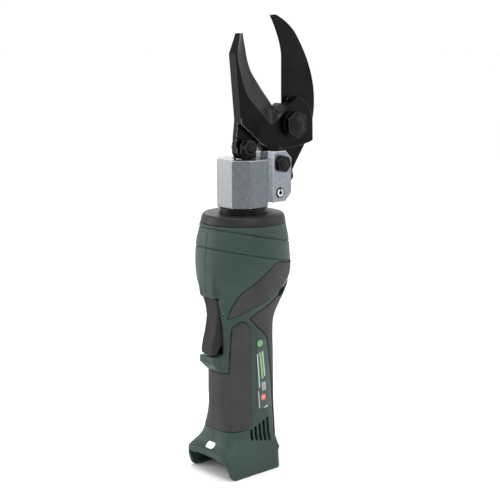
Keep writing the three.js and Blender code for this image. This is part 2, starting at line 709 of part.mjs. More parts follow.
// Fixed jaw: cutting edge upright behind X = 0, outer edge curved, tang held in the clevis.
function fixedJaw() {
  const blade = new THREE.Shape();
  blade.moveTo(41.4, 293.5);
  blade.lineTo(41.2, 331);
  blade.quadraticCurveTo(40.3, 343, 29.5, 361.5);
  blade.quadraticCurveTo(31.5, 363.7, 35, 363);
  blade.quadraticCurveTo(47, 358.4, 55.4, 349.6);
  blade.quadraticCurveTo(79, 319.5, 77.8, 291);
  blade.quadraticCurveTo(77.2, 273, 68, 259.9);
  blade.lineTo(55, 241);
  blade.lineTo(CLEVIS.rear + 0.8, 241);
  blade.lineTo(CLEVIS.rear + 0.8, CLEVIS.top + 0.8);
  blade.lineTo(21, CLEVIS.top + 0.8);
  blade.quadraticCurveTo(24, 284, 41.4, 293.5);
  const upper = slab(blade, -JAW_THICKNESS, -SPLIT, 8);

  const neck = slab([
    [20, 257], [22, 266], [50, 262], [55, 241], [50, 234], [41, 223.5], [34, 218.4], [20, 218.4],
  ], -5, -SPLIT);
  const pad = slab([
    [20, 218.4], [20, 255.5], [33.5, 255.5], [36, 248.2], [47, 246], [50, 234], [41, 223.5],
    [34, 218.4],
  ], -2, 5);
  const bevel = groundBevel([
    [[41.2, 331], [41.4, 288], 9],
    [[31.6, 357.5], [41, 334], 8],
  ], -1);
  const pivotHole = barX(PIVOT_BOLT + GAP, -FAR, FAR, PIVOT.y, PIVOT.z, 28);
  const boltHole = barX(CLEVIS_BOLT.r + GAP, -FAR, FAR, CLEVIS_BOLT.y, CLEVIS_BOLT.z, 16);
  const pinHole = barX(CLEVIS_PIN.r + GAP, -FAR, FAR, CLEVIS_PIN.y, CLEVIS_PIN.z, 16);
  return cut(union(upper, neck, pad), bevel, pivotHole, boltHole, pinHole);
}

// A long wedge that grinds a straight cutting edge through two points in side view, with the
// mouth on the right of the way from one to the other. side is 1 for the jaw in front of X = 0
// and -1 for the one behind it; the bevel ends at the jaw's face, width away from the edge.
function edgeWedge([from, to, width], side) {
  const land = side * 1.2;
  const face = side * JAW_THICKNESS;
  const wedge = outline([
    [-width, face], [0, land], [2 * FAR, land], [2 * FAR, face + side], [-width, face + side],
  ]);
  const bar = new THREE.ExtrudeGeometry(wedge, { depth: 4 * FAR, bevelEnabled: false });
  bar.translate(0, 0, -2 * FAR);
  const along = new THREE.Vector3(0, to[0] - from[0], to[1] - from[1]).normalize();
  const across = new THREE.Vector3(0, along.z, -along.y);
  const frame = new THREE.Matrix4().makeBasis(across, new THREE.Vector3(1, 0, 0), along);
  frame.setPosition(0, from[0], from[1]);
  return solid(bar.applyMatrix4(frame));
}

// The ground bevel along a cutting edge that bends into the jaw: what all its wedges share.
function groundBevel(edges, side) {
  return edges.map((edge) => edgeWedge(edge, side)).reduce((all, wedge) => all.intersect(wedge));
}

// Moving jaw: in front of X = 0, with a hub about the pivot and a thin tang for the drive pin.
function movingJaw() {
  const blade = new THREE.Shape();
  blade.moveTo(-8, 348.8);
  blade.lineTo(-1, 348.8);
  blade.quadraticCurveTo(1, 330, 10.5, 315);
  blade.lineTo(29, 292.6);
  blade.quadraticCurveTo(33.5, 286.6, 38, 291.2);
  blade.quadraticCurveTo(43, 296, 48, THROAT_END.z);
  blade.absarc(PIVOT.y, PIVOT.z, THROAT_END.r, Math.acos(3 / THROAT_END.r), 0, true);
  blade.lineTo(67.8, 262.9);
  blade.lineTo(64.5, 261.6);
  blade.quadraticCurveTo(50, 258.3, 35.5, CLEVIS.top + 0.9);
  blade.lineTo(24, CLEVIS.top + 1.2);
  blade.quadraticCurveTo(16, 259.6, 8.8, 265.4);
  blade.lineTo(-9.1, 279.7);
  blade.lineTo(-14.6, 333.2);
  const upper = slab(blade, SPLIT, JAW_THICKNESS, 8);

  const tang = slab([
    [-9.1, 284], [-10.9, 268], [-10.6, 257], [-7, 254.2], [1, 254.2], [6, 257.3], [12, 264], [20, 280],
  ], SPLIT, TANG_THICKNESS);
  const bevel = groundBevel([
    [[25.2, 297.4], [9, 317.3], 15],
    [[4.6, 321], [-1.6, 352], 14],
    [[50, 298.6], [33.5, 288.6], 5.5],
  ], 1);
  const hole = barX(PIVOT_BOLT + GAP, -FAR, FAR, PIVOT.y, PIVOT.z, 28);
  return cut(union(upper, tang), driveSlot(), hole, bevel);
}

// The drive pin goes straight up while the jaw turns, so the tang's hole is a short slot that
// points at the pivot, long enough for the change of the pin's distance from it.
function driveSlot() {
  const arm = PIVOT.y - DRIVE_PIN.y;
  const start = Math.atan2(PIVOT.z - DRIVE_PIN.z, arm);
  const farthest = arm / Math.cos(start);
  const width = DRIVE_PIN.r + 0.45;
  const middle = (arm + farthest) / 2;
  const reach = (farthest - arm) / 2 + 0.35;
  const form = new THREE.Shape();
  form.absarc(reach, 0, width, -Math.PI / 2, Math.PI / 2);
  form.absarc(-reach, 0, width, Math.PI / 2, 1.5 * Math.PI);
  const bar = new THREE.ExtrudeGeometry(form, { depth: 30, bevelEnabled: false, curveSegments: 8 });
  bar.translate(0, 0, -15).rotateZ(start).applyMatrix4(SIDEWAYS);
  return solid(bar.translate(0, PIVOT.y - middle * Math.cos(start), PIVOT.z - middle * Math.sin(start)));
}

const NUT = { inner: 10.4, outer: 14.8, washer: 10.3 };

function pivotBolt() {
  const shank = barX(PIVOT_BOLT, -JAW_THICKNESS - 1, NUT.outer + 0.4, PIVOT.y, PIVOT.z, 24);
  const tip = barX(PIVOT_BOLT - 1.2, NUT.outer + 0.2, NUT.outer + 1.2, PIVOT.y, PIVOT.z, 24);
  const head = hexX(PIVOT_HEX, -JAW_THICKNESS - 8, -JAW_THICKNESS - GAP, PIVOT.y, PIVOT.z);
  return union(shank, tip, head);
}

function pivotNut() {
  const nut = hexX(PIVOT_HEX, NUT.inner, NUT.outer, PIVOT.y, PIVOT.z);
  return cut(nut, barX(PIVOT_BOLT + GAP, 0, 30, PIVOT.y, PIVOT.z, 24));
}

function pivotWasher() {
  const disc = barX(NUT.washer, JAW_THICKNESS + GAP, NUT.inner - GAP, PIVOT.y, PIVOT.z, 28);
  return cut(disc, barX(PIVOT_BOLT + GAP, 0, 30, PIVOT.y, PIVOT.z, 24));
}

// ---- ram --------------------------------------------------------------------------------------------------

const FORK = {
  left: -3.6,
  right: 8.6,
  bottom: BLOCK.top + GAP,
  top: 267.4,
  slot: { from: -GAP, to: TANG_THICKNESS + 0.4, bottom: 252.5 },
};
const DRIVE_HEX = 10.2;          // across flats

function ramRod() {
  const rod = barZ(ROD, 201.3, 254, 0, 0, 24);
  const cheeks = slab([
    [-8.6, 257], [-6.4, FORK.bottom], [6.4, FORK.bottom], [6.4, 259], [1.4, FORK.top],
    [-6.4, FORK.top], [-8.6, 264.6],
  ], FORK.left, FORK.right);
  const slot = box(FORK.slot.from, FORK.slot.to, -FAR, FAR, FORK.slot.bottom, FORK.top + 1);
  const pinHole = barX(DRIVE_PIN.r + GAP, -FAR, FAR, DRIVE_PIN.y, DRIVE_PIN.z, 18);
  return cut(union(rod, cheeks), slot, pinHole);
}

function piston() {
  return turned([
    [0, 187], [12.7, 187], [12.7, 191.6], [10.7, 191.6], [10.7, 195.4], [12.7, 195.4], [12.7, 201],
    [0, 201],
  ], 28);
}

function driveBolt() {
  const { y, z, r } = DRIVE_PIN;
  const shank = barX(r, FORK.left - 1, FORK.right + 5, y, z, 18);
  const head = barX(r + 1, FORK.left - 1.8, FORK.left - GAP, y, z, 18);
  return union(shank, head);
}

function driveNut() {
  const { y, z, r } = DRIVE_PIN;
  const nut = hexX(DRIVE_HEX, FORK.right + GAP, FORK.right + 4.4, y, z);
  return cut(nut, barX(r + GAP, 0, 30, y, z, 18));
}

// ---- assembly ---------------------------------------------------------------------------------------------

const part = new THREE.Group();
part.name = 'rescue_cutter';

function place(name, shape, look) {
  const geometry = shape instanceof THREE.BufferGeometry ? shape : geometryOf(shape);
  const mesh = new THREE.Mesh(geometry, material(look));
  mesh.name = name;
  mesh.position.z = -SEAT;
  part.add(mesh);
  return mesh;
}

place('housing_right', right, 'green');
place('housing_left', left, 'green');
place('shoulder_panel_right', panel(SHOULDER, 1), 'charcoal');
place('shoulder_panel_left', panel(SHOULDER, -1), 'charcoal');
place('backstrap_right', panel(BACKSTRAP, 1), 'charcoal');
place('backstrap_left', panel(BACKSTRAP, -1), 'charcoal');
place('grip_panel_right', panel(GRIP, 1), 'charcoal');
place('grip_panel_left', panel(GRIP, -1), 'charcoal');
place('collar_ring', collarRing(), 'charcoal');
place('label_plate', labelPlate(), 'label');
place('indicator_lens', indicatorLens(), 'lens');
for (const [name, screw] of Object.entries(SCREWS)) place(name, screwSolid(screw), 'blackened');

place('terminal_block', terminalBlock(), 'black');
place('contact_right', contactBlade(9), 'copper');
place('contact_left', contactBlade(-9), 'copper');
place('control_board', controlBoard(), 'board');
place('switch_body', switchBody(), 'black');
place('switch_button', switchButton(), 'charcoal');
place('trigger', trigger(), 'black');
place('trigger_spring', triggerSpring(), 'spring');
place('trigger_pin', triggerPin(), 'steel');

place('motor_can', motorCan(), 'steel');
place('motor_stator', motorStator(), 'copper');
place('motor_rotor', motorRotor(), 'steel');
place('cooling_fan', coolingFan(), 'black');
place('gearbox_case', gearboxCase(), 'aluminium');
place('output_bearing', ring(4 + GAP, CASE.bore - GAP, 118, 124, 20), 'steel');
place('planet_carrier', planetCarrier(), 'steel');
planetAngles().forEach((angle, i) => {
  const gear = place(`planet_gear_${i + 1}`, planetGear(), 'steel');
  gear.position.x = GEARS.orbit * Math.cos(angle);
  gear.position.y = GEARS.orbit * Math.sin(angle);
});

place('pump_block', pumpBlock(), 'aluminium');
place('pump_plunger', pumpPlunger(), 'steel');
place('plunger_spring', plungerSpring(), 'spring');
place('plunger_plug', plungerPlug(), 'steel');
place('relief_valve', reliefValve(), 'steel');
place('oil_bladder', ring(21.7, 28, 179, 190, 24), 'black');
place('retaining_ring', ring(NECK.r + GAP, 21.2, 197.4, 199.4, 24), 'steel');

place('head_block', headBlock(), 'aluminium');
place('swivel_ring', ring(NECK.r + GAP, 18.8, 207.6, BLOCK.bottom - GAP, VISIBLE), 'steel');
place('clevis_bolt', clevisBolt(), 'blackened');
place('clevis_nut', clevisNut(), 'blackened');
place('clevis_pin', clevisPin(), 'steel');
place('fixed_jaw', fixedJaw(), 'blackened');
place('moving_jaw', movingJaw(), 'blackened');
place('pivot_bolt', pivotBolt(), 'blackened');
place('pivot_nut', pivotNut(), 'blackened');
place('pivot_washer', pivotWasher(), 'blackened');

place('rod_wiper', ring(ROD + GAP, WIPER.r, WIPER.bottom, BLOCK.top - 0.3, 24), 'black');
place('ram_rod', ramRod(), 'steel');
place('piston', piston(), 'steel');
place('piston_seal', ring(11, 12.85, 191.9, 195.1, 24), 'black');
place('return_spring', solid(coil(10.2, 1.4, 201.4, BORE.top - 0.4, 5, 3, 9)), 'spring');
place('drive_bolt', driveBolt(), 'blackened');
place('drive_nut', driveNut(), 'blackened');

export default part;
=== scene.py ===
# Looks of the battery-hydraulic rescue cutter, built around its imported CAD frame.
#
# Shapes are made in millimetres above the foot's rim, as in the CAD source, and lowered by SEAT
# when they become Blender objects in metres. -Y is the front (trigger) side, +X the right side.

import json
import math

import bpy
import numpy as np
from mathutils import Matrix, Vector


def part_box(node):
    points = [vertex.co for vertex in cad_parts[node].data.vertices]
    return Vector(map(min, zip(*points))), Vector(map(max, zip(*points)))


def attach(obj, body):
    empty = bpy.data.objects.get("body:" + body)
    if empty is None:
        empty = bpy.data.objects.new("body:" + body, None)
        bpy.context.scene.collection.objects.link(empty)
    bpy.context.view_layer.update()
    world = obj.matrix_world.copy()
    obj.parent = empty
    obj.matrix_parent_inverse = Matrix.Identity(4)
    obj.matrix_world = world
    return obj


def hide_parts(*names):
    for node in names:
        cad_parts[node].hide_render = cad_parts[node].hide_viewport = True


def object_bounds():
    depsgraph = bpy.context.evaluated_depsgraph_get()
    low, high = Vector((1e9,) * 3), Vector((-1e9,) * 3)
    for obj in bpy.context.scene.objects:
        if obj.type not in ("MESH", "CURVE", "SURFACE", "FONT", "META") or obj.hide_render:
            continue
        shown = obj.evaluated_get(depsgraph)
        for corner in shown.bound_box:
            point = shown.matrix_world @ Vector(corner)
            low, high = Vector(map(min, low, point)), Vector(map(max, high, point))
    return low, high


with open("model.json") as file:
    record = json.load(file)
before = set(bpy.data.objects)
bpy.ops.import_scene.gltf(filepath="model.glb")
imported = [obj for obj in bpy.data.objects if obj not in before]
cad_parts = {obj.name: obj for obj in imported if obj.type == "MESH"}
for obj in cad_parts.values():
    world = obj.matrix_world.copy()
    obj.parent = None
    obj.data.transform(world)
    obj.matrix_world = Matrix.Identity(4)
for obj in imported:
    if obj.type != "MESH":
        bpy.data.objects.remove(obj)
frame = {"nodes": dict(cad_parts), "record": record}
cad_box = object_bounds()

SEAT = 8.0                      # terminal block face above the foot's rim
MM = 0.001
DRAFT = 1.0
WARM = (1.0, 0.92, 0.84)

# ---- camera, floor and light -----------------------------------------------------------------


def add_camera():
    """Looks at the tool from its right front, a little downwards and turned slightly aside."""
    azimuth = math.radians(49)
    pitch = math.radians(10.89)
    turn = math.radians(0.35)
    distance, height = 0.9, 0.344
    data = bpy.data.cameras.new("camera")
    data.lens = 82.8
    data.sensor_width = 36
    data.clip_end = 60
    away = Vector((math.sin(azimuth), -math.cos(azimuth), 0))
    side = Vector((math.cos(azimuth), math.sin(azimuth), 0))
    ahead = -away * math.cos(turn) + side * math.sin(turn)
    forward = ahead * math.cos(pitch) - Vector((0, 0, 1)) * math.sin(pitch)
    camera = bpy.data.objects.new("camera", data)
    camera.location = away * distance + Vector((0, 0, height))
    camera.rotation_euler = forward.to_track_quat("-Z", "Y").to_euler()
    bpy.context.scene.collection.objects.link(camera)
    bpy.context.scene.camera = camera


def add_area_light(name, azimuth, elevation, distance, size, power, color=(1, 1, 1)):
    """A soft box round the tool, aimed at the middle of its height."""
    data = bpy.data.lights.new(name, "AREA")
    data.shape = "RECTANGLE"
    data.size, data.size_y = size
    data.energy = power
    data.color = color
    light = bpy.data.objects.new(name, data)
    turn, rise = math.radians(azimuth), math.radians(elevation)
    level = Vector((math.sin(turn), -math.cos(turn), 0))
    away = level * math.cos(rise) + Vector((0, 0, math.sin(rise)))
    target = Vector((0, 0, 0.19))
    light.location = target + away * distance
    light.rotation_euler = (-away).to_track_quat("-Z", "Y").to_euler()
    light.visible_camera = False
    bpy.context.scene.collection.objects.link(light)


def add_studio():
    scene = bpy.context.scene
    scene.view_settings.view_transform = "Standard"
    world = bpy.data.worlds.new("studio")
    world.use_nodes = True
    world.node_tree.nodes["Background"].inputs["Color"].default_value = (1, 1, 1, 1)
    world.node_tree.nodes["Background"].inputs["Strength"].default_value = 1.06
    scene.world = world

    floor_mesh = bpy.data.meshes.new("floor")
    reach = 14
    corners = [(-reach, -reach), (reach, -reach), (reach, reach), (-reach, reach)]
    floor_mesh.from_pydata([(x, y, cad_box[0][2]) for x, y in corners], [], [(0, 1, 2, 3)])
    floor = bpy.data.objects.new("floor", floor_mesh)
    scene.collection.objects.link(floor)
    floor.data.materials.append(plain_material("floor_paper", (0.95, 0.95, 0.95), 0.9))

    add_area_light("key", -49, 9, 1.2, (0.7, 0.8), 6, WARM)
    add_area_light("fill", 140, 20, 1.5, (0.8, 1.0), 4)
    add_area_light("top", 30, 75, 1.2, (0.7, 0.7), 5)
    add_area_light("back", 229, 22, 1.5, (0.9, 0.5), 3)
    add_area_light("throat", 76, 35, 1.2, (0.35, 0.35), 2.5)


# ---- materials ----------------------------------------------------------------------------------


def plain_material(name, color, roughness):
    material = bpy.data.materials.new(name)
    material.use_nodes = True
    shader = material.node_tree.nodes["Principled BSDF"]
    shader.inputs["Base Color"].default_value = (*color, 1)
    shader.inputs["Roughness"].default_value = roughness
    return material


class Nodes:
    """A short way to write a material's node tree."""

    def __init__(self, name):
        self.material = bpy.data.materials.new(name)
        self.material.use_nodes = True
        self.tree = self.material.node_tree
        self.shader = self.tree.nodes["Principled BSDF"]
        self.place = self.add("ShaderNodeTexCoord").outputs["Object"]

    def add(self, kind, inputs=(), **settings):
        node = self.tree.nodes.new(kind)
        for key, value in settings.items():
            setattr(node, key, value)
        for key, value in dict(inputs).items():
            self.feed(node.inputs[key], value)
        return node

    def feed(self, socket, value):
        if isinstance(value, bpy.types.NodeSocket):
            self.tree.links.new(value, socket)
        else:
            socket.default_value = value

    def noise(self, scale, detail=3.0, stretch=None, roughness=0.5):
        place = self.place
        if stretch:
            place = self.add("ShaderNodeMapping", {"Vector": place, "Scale": stretch}).outputs[0]
        sizes = {"Vector": place, "Scale": scale, "Detail": detail, "Roughness": roughness}
        return self.add("ShaderNodeTexNoise", sizes).outputs["Fac"]

    def ramp(self, value, low, high, at=(0.3, 0.7)):
        node = self.add("ShaderNodeMapRange", {"Value": value, "From Min": at[0], "From Max": at[1],
                                               "To Min": low, "To Max": high})
        return node.outputs["Result"]

    def blend(self, factor, first, second):
        node = self.add("ShaderNodeMix", data_type="RGBA")
        self.feed(node.inputs["Factor"], factor)
        colours = [s for s in node.inputs if s.type == "RGBA"]
        for socket, value in zip(colours, (first, second)):
            self.feed(socket, value if isinstance(value, bpy.types.NodeSocket) else (*value, 1))
        return [s for s in node.outputs if s.type == "RGBA"][0]

    def bump(self, height, depth, strength=1.0):
        inputs = {"Height": height, "Distance": depth, "Strength": strength}
        return self.add("ShaderNodeBump", inputs).outputs["Normal"]

    def edges(self, low=0.52, high=0.6):
        """1 along convex edges of the mesh and 0 elsewhere."""
        shape = self.add("ShaderNodeNewGeometry").outputs["Pointiness"]
        return self.ramp(shape, 0.0, 1.0, (low, high))

    def finish(self, **inputs):
        for key, value in inputs.items():
            name = key.replace("_", " ").title().replace("Ior", "IOR")
            if not isinstance(value, (bpy.types.NodeSocket, float, int)):
                value = (*value, 1) if len(value) == 3 else value
            self.feed(self.shader.inputs[name], value)
        return self.material


def moulded_plastic(name, color, roughness, grain=0.00006, tone=0.12):
    """Spark-eroded plastic: an even fine grain, faint flow marks and slightly rubbed edges."""
    n = Nodes(name)
    fine = n.noise(2600, 2)
    broad = n.noise(38, 4)
    light = tuple(min(1, c * (1 + tone) + 0.004) for c in color)
    dark = tuple(c * (1 - tone) for c in color)
    base = n.blend(n.ramp(broad, 0, 1), dark, light)
    rubbed = tuple(min(1, c * 1.6 + 0.02) for c in color)
    base = n.blend(n.ramp(n.edges(), 0.0, 0.35, (0, 1)), base, rubbed)
    rough = n.ramp(n.noise(160, 3), roughness - 0.05, roughness + 0.06)
    normal = n.bump(fine, grain, 0.35)
    return n.finish(base_color=base, roughness=rough, normal=normal, specular_ior_level=0.3)


def soft_grip(name, color):
    """Overmoulded elastomer: matt, finely stippled, with a little dust in the stipple."""
    n = Nodes(name)
    stipple = n.add("ShaderNodeTexVoronoi", {"Vector": n.place, "Scale": 1500.0}).outputs["Distance"]
    dust = n.noise(55, 5)
    light = tuple(c * 1.35 + 0.006 for c in color)
    base = n.blend(n.ramp(dust, 0, 0.8), color, light)
    rough = n.ramp(n.noise(220, 3), 0.62, 0.78)
    normal = n.bump(stipple, 0.00006, 0.4)
    return n.finish(base_color=base, roughness=rough, normal=normal, specular_ior_level=0.3)


def blasted_aluminium(name, tone=1.0, metallic=1.0, roughness=0.26):
    """Bead-blasted light alloy with a mottled tone, bright along its machined edges."""
    n = Nodes(name)
    pits = n.noise(1500, 3)
    mottle = n.noise(420, 5, roughness=0.7)
    dark, light = (0.108, 0.12, 0.138), (0.172, 0.185, 0.202)
    dark, light = tuple(c * tone for c in dark), tuple(c * tone for c in light)
    base = n.blend(n.ramp(mottle, 0, 1), dark, light)
    base = n.blend(n.edges(0.53, 0.58), base, (0.6, 0.6, 0.6))
    rough = n.ramp(mottle, roughness, roughness + 0.1)
    normal = n.bump(pits, 0.00008, 0.5)
    return n.finish(base_color=base, roughness=rough, metallic=metallic, normal=normal)


def black_oxide(name, tone=0.022, wear=0.7):
    """Ground steel, blackened: grinding lines under the oxide, and edges worn to grey."""
    n = Nodes(name)
    lines = n.noise(120, 4, stretch=(1, 1, 14))
    cloud = n.noise(60, 5)
    base = n.blend(n.ramp(cloud, 0, 1), (tone, tone, tone * 1.02), (tone * 1.6, tone * 1.6, tone * 1.7))
    base = n.blend(n.ramp(n.edges(0.53, 0.62), 0, wear, (0, 1)), base, (0.12, 0.12, 0.13))
    rough = n.ramp(cloud, 0.26, 0.4)
    normal = n.bump(lines, 0.00004, 0.3)
    return n.finish(base_color=base, roughness=rough, metallic=1.0, normal=normal)


def bright_steel(name, color=(0.62, 0.63, 0.65), roughness=0.22):
    """Turned or drawn steel: fine rings round the main axis and a few stains."""
    n = Nodes(name)
    rings = n.noise(260, 3, stretch=(0.4, 0.4, 12))
    stain = n.noise(90, 4)
    dark = tuple(c * 0.75 for c in color)
    base = n.blend(n.ramp(stain, 0, 1, (0.35, 0.75)), color, dark)
    rough = n.ramp(rings, roughness - 0.06, roughness + 0.12)
    normal = n.bump(rings, 0.00002, 0.3)
    return n.finish(base_color=base, roughness=rough, metallic=1.0, normal=normal)


def rubber(name):
    n = Nodes(name)
    base = n.blend(n.ramp(n.noise(80, 4), 0, 1), (0.012, 0.012, 0.012), (0.03, 0.03, 0.03))
    return n.finish(base_color=base, roughness=n.ramp(n.noise(300, 3), 0.55, 0.75),
                    normal=n.bump(n.noise(900, 2), 0.00005, 0.4))


def copper(name):
    n = Nodes(name)
    base = n.blend(n.ramp(n.noise(120, 4), 0, 1), (0.72, 0.36, 0.2), (0.5, 0.22, 0.11))
    wires = n.noise(500, 2, stretch=(8, 8, 0.5))
    return n.finish(base_color=base, metallic=1.0, roughness=n.ramp(wires, 0.25, 0.5),
                    normal=n.bump(wires, 0.0001, 0.6))


def circuit_board(name):
    n = Nodes(name)
    base = n.blend(n.ramp(n.noise(400, 2), 0, 1, (0.48, 0.52)), (0.01, 0.09, 0.035), (0.02, 0.17, 0.07))
    return n.finish(base_color=base, roughness=n.ramp(n.noise(200, 2), 0.3, 0.45))


def clear_lens(name):
    n = Nodes(name)
    base = n.blend(n.ramp(n.noise(300, 3), 0, 1), (0.9, 0.9, 0.88), (0.8, 0.81, 0.8))
    return n.finish(base_color=base, roughness=n.ramp(n.noise(120, 2), 0.12, 0.2))


def label_print():
    """The label's ground with generic printing: a round mark, a few bars and a slanted stroke."""
    n = Nodes("label_print")
    apart = n.add("ShaderNodeSeparateXYZ", {"Vector": n.place})
    y, z = apart.outputs["Y"], apart.outputs["Z"]
    cloud = n.noise(60, 4)
    colour = n.blend(n.ramp(cloud, 0, 1), (0.015, 0.036, 0.030), (0.018, 0.041, 0.035))

    def math_node(operation, a, b=0.0):
        node = n.add("ShaderNodeMath", operation=operation)
        n.feed(node.inputs[0], a)
        n.feed(node.inputs[1], b)
        return node.outputs[0]

    def bar(cy, cz, half_y, half_z, lean=0.0, rise=0.0):
        """1 inside a bar centred there in side view, leaning or climbing to the rear."""
        off_y = math_node("SUBTRACT", y, cy * MM)
        off_z = math_node("SUBTRACT", z, (cz - SEAT) * MM)
        dy = math_node("SUBTRACT", off_y, math_node("MULTIPLY", off_z, lean))
        dz = math_node("SUBTRACT", off_z, math_node("MULTIPLY", off_y, rise))
        in_y = math_node("LESS_THAN", math_node("ABSOLUTE", dy), half_y * MM)
        in_z = math_node("LESS_THAN", math_node("ABSOLUTE", dz), half_z * MM)
        return math_node("MULTIPLY", in_y, in_z)

    def disc(cy, cz, radius):
        dy = math_node("SUBTRACT", y, cy * MM)
        dz = math_node("SUBTRACT", z, (cz - SEAT) * MM)
        square = math_node("ADD", math_node("MULTIPLY", dy, dy), math_node("MULTIPLY", dz, dz))
        return math_node("LESS_THAN", square, (radius * MM) ** 2)

    pale, silver, dim, grey = (0.42, 0.47, 0.43), (0.3, 0.36, 0.32), (0.3, 0.34, 0.31), (0.22, 0.25, 0.25)
    green, deep_green = (0.16, 0.36, 0.12), (0.1, 0.24, 0.09)
    red, pale_red = (0.5, 0.09, 0.08), (0.62, 0.25, 0.22)
    prints = (
        (disc(-0.6, 106.4, 2.6), green),
        (disc(-0.6, 106.4, 1.5), deep_green),
        (bar(3.1, 89, 0.8, 10.5, lean=-0.12), silver),
        (bar(0.6, 88, 0.9, 11, lean=-0.12), green),
        (bar(-2.4, 84, 0.5, 14, lean=-0.08), pale),
        (bar(3.4, 70.4, 2.2, 3.6, lean=-0.1), grey),
        (disc(3.0, 61.3, 2.8), red),
        (disc(3.0, 61.3, 1.5), pale_red),
        (bar(-1.8, 60, 0.5, 7, lean=-0.1), dim),
        (bar(3.2, 51.4, 4.6, 0.9, rise=0.34), pale),
    )
    for mask, ink in prints:
        colour = n.blend(mask, colour, ink)
    rough = n.ramp(n.noise(160, 3), 0.38, 0.5)
    return n.finish(base_color=colour, roughness=rough, normal=n.bump(n.noise(2000, 2), 0.00002, 0.3))


SHELL_GREEN = (0.016, 0.038, 0.032)

LOOKS = {
    "green_shell": moulded_plastic("green_shell", SHELL_GREEN, 0.5),
    "soft_panel": soft_grip("soft_panel", (0.025, 0.0245, 0.025)),
    "dark_collar": moulded_plastic("dark_collar", (0.006, 0.006, 0.0065), 0.5),
    "label": moulded_plastic("label", (0.042, 0.075, 0.064), 0.42, grain=0.00002),
    "lens": clear_lens("lens"),
    "trigger_plastic": moulded_plastic("trigger_plastic", (0.007, 0.007, 0.0075), 0.65),
    "black_plastic": moulded_plastic("black_plastic", (0.012, 0.012, 0.012), 0.5),
    "block_aluminium": blasted_aluminium("block_aluminium"),
    "ear_side": blasted_aluminium("ear_side", 1.6),
    # a pale non-metallic copy of the alloy for the ears' front strips: a painted highlight where the key
    # light falls on them
    "ear_front": blasted_aluminium("ear_front", 4.4, 0.0, 0.55),
    "bright_steel": bright_steel("bright_steel"),
    "rod_steel": bright_steel("rod_steel", (0.55, 0.56, 0.58), 0.16),
    "black_steel": black_oxide("black_steel", 0.012),
    "jaw_steel": black_oxide("jaw_steel", 0.0062, 0.12),
    "ground_steel": black_oxide("ground_steel", 0.02, 0.3),
    # a much lighter blackened steel for the jaws' lower rim: a painted highlight along the chamfer
    "worn_edge": black_oxide("worn_edge", 0.16, 0.3),
    "spring_steel": bright_steel("spring_steel", (0.45, 0.45, 0.46), 0.3),
    "seal_rubber": rubber("seal_rubber"),
    "copper": copper("copper"),
    "board": circuit_board("board"),
}


def slots_of_nodes():
    """CAD node -> the record's material slot."""
    return {row["node"]: row["material_slot"] for row in frame["record"]["subparts"]}


SLOT_OF = slots_of_nodes()


def dress_frame():
    for name, node in frame["nodes"].items():
        node.data.materials.clear()
        node.data.materials.append(LOOKS[SLOT_OF[name]])


# ---- fields: negative inside a shape, about the distance to it near its surface ----------------


def either(*fields):
    result = fields[0]
    for field in fields[1:]:
        result = np.minimum(result, field)
    return result


def both(*fields):
    result = fields[0]
    for field in fields[1:]:
        result = np.maximum(result, field)
    return result


def soft_either(a, b, reach):
    """Union with a fillet about reach wide."""
    mix = np.clip(0.5 + 0.5 * (b - a) / reach, 0, 1)
    return b * (1 - mix) + a * mix - reach * mix * (1 - mix)


def round_both(a, b, radius):
    """Intersection whose edge has that radius."""
    over = np.sqrt(np.maximum(a + radius, 0) ** 2 + np.maximum(b + radius, 0) ** 2)
    return np.minimum(-radius, np.maximum(a, b)) + over


def block_field(x, y, z, low, high, radius=0.0):
    parts = []
    for value, a, b in zip((x, y, z), low, high):
        parts.append(np.abs(value - (a + b) / 2) - (b - a) / 2 + radius)
    outside = np.sqrt(sum(np.maximum(p, 0) ** 2 for p in parts))
    return outside + np.minimum(both(*parts), 0) - radius


def bar_field(u, v, centre, radius):
    return np.sqrt((u - centre[0]) ** 2 + (v - centre[1]) ** 2) - radius


class Polygon:
    """Signed distance to a closed polygon."""

    def __init__(self, points):
        points = np.array(points, float)
        step = np.linalg.norm(points - np.roll(points, 1, axis=0), axis=1)
        self.points = points[step > 1e-6]

    def __call__(self, u, v):
        nearest = np.full(np.broadcast(u, v).shape, np.inf)
        inside = np.zeros(nearest.shape, bool)
        for a, b in zip(self.points, np.roll(self.points, -1, axis=0)):
            du, dv = u - a[0], v - a[1]
            eu, ev = b - a
            t = np.clip((du * eu + dv * ev) / (eu * eu + ev * ev), 0, 1)
            nearest = np.minimum(nearest, (du - eu * t) ** 2 + (dv - ev * t) ** 2)
            rising = (v >= a[1]) & (v < b[1]) & (eu * dv > ev * du)
            falling = (v < a[1]) & (v >= b[1]) & (eu * dv < ev * du)
            inside ^= rising | falling
        return np.where(inside, -1, 1) * np.sqrt(nearest)


def path_distance(points):
    """Distance to an open path, blended smoothly where two stretches of it are equally near: every
    stretch adds the integral of 1 / distance^4 along it, which a straight line turns into its own
    distance."""
    points = np.array(points, float)
    points = points[np.append(True, np.linalg.norm(np.diff(points, axis=0), axis=1) > 1e-6)]

    def distance(u, v):
        total = np.zeros(np.broadcast(u, v).shape)
        for a, b in zip(points[:-1], points[1:]):
            length = np.linalg.norm(b - a)
            eu, ev = (b - a) / length
            along = (u - a[0]) * eu + (v - a[1]) * ev
            off = np.maximum(np.abs((u - a[0]) * ev - (v - a[1]) * eu), 0.02)
            for end, sign in ((along, 1), (along - length, -1)):
                total += sign * (end / (2 * off ** 2 * (off ** 2 + end ** 2))
                                 + np.arctan(end / off) / (2 * off ** 3))
        return (math.pi / 2 / np.maximum(total, 1e-12)) ** (1 / 3)

    return distance


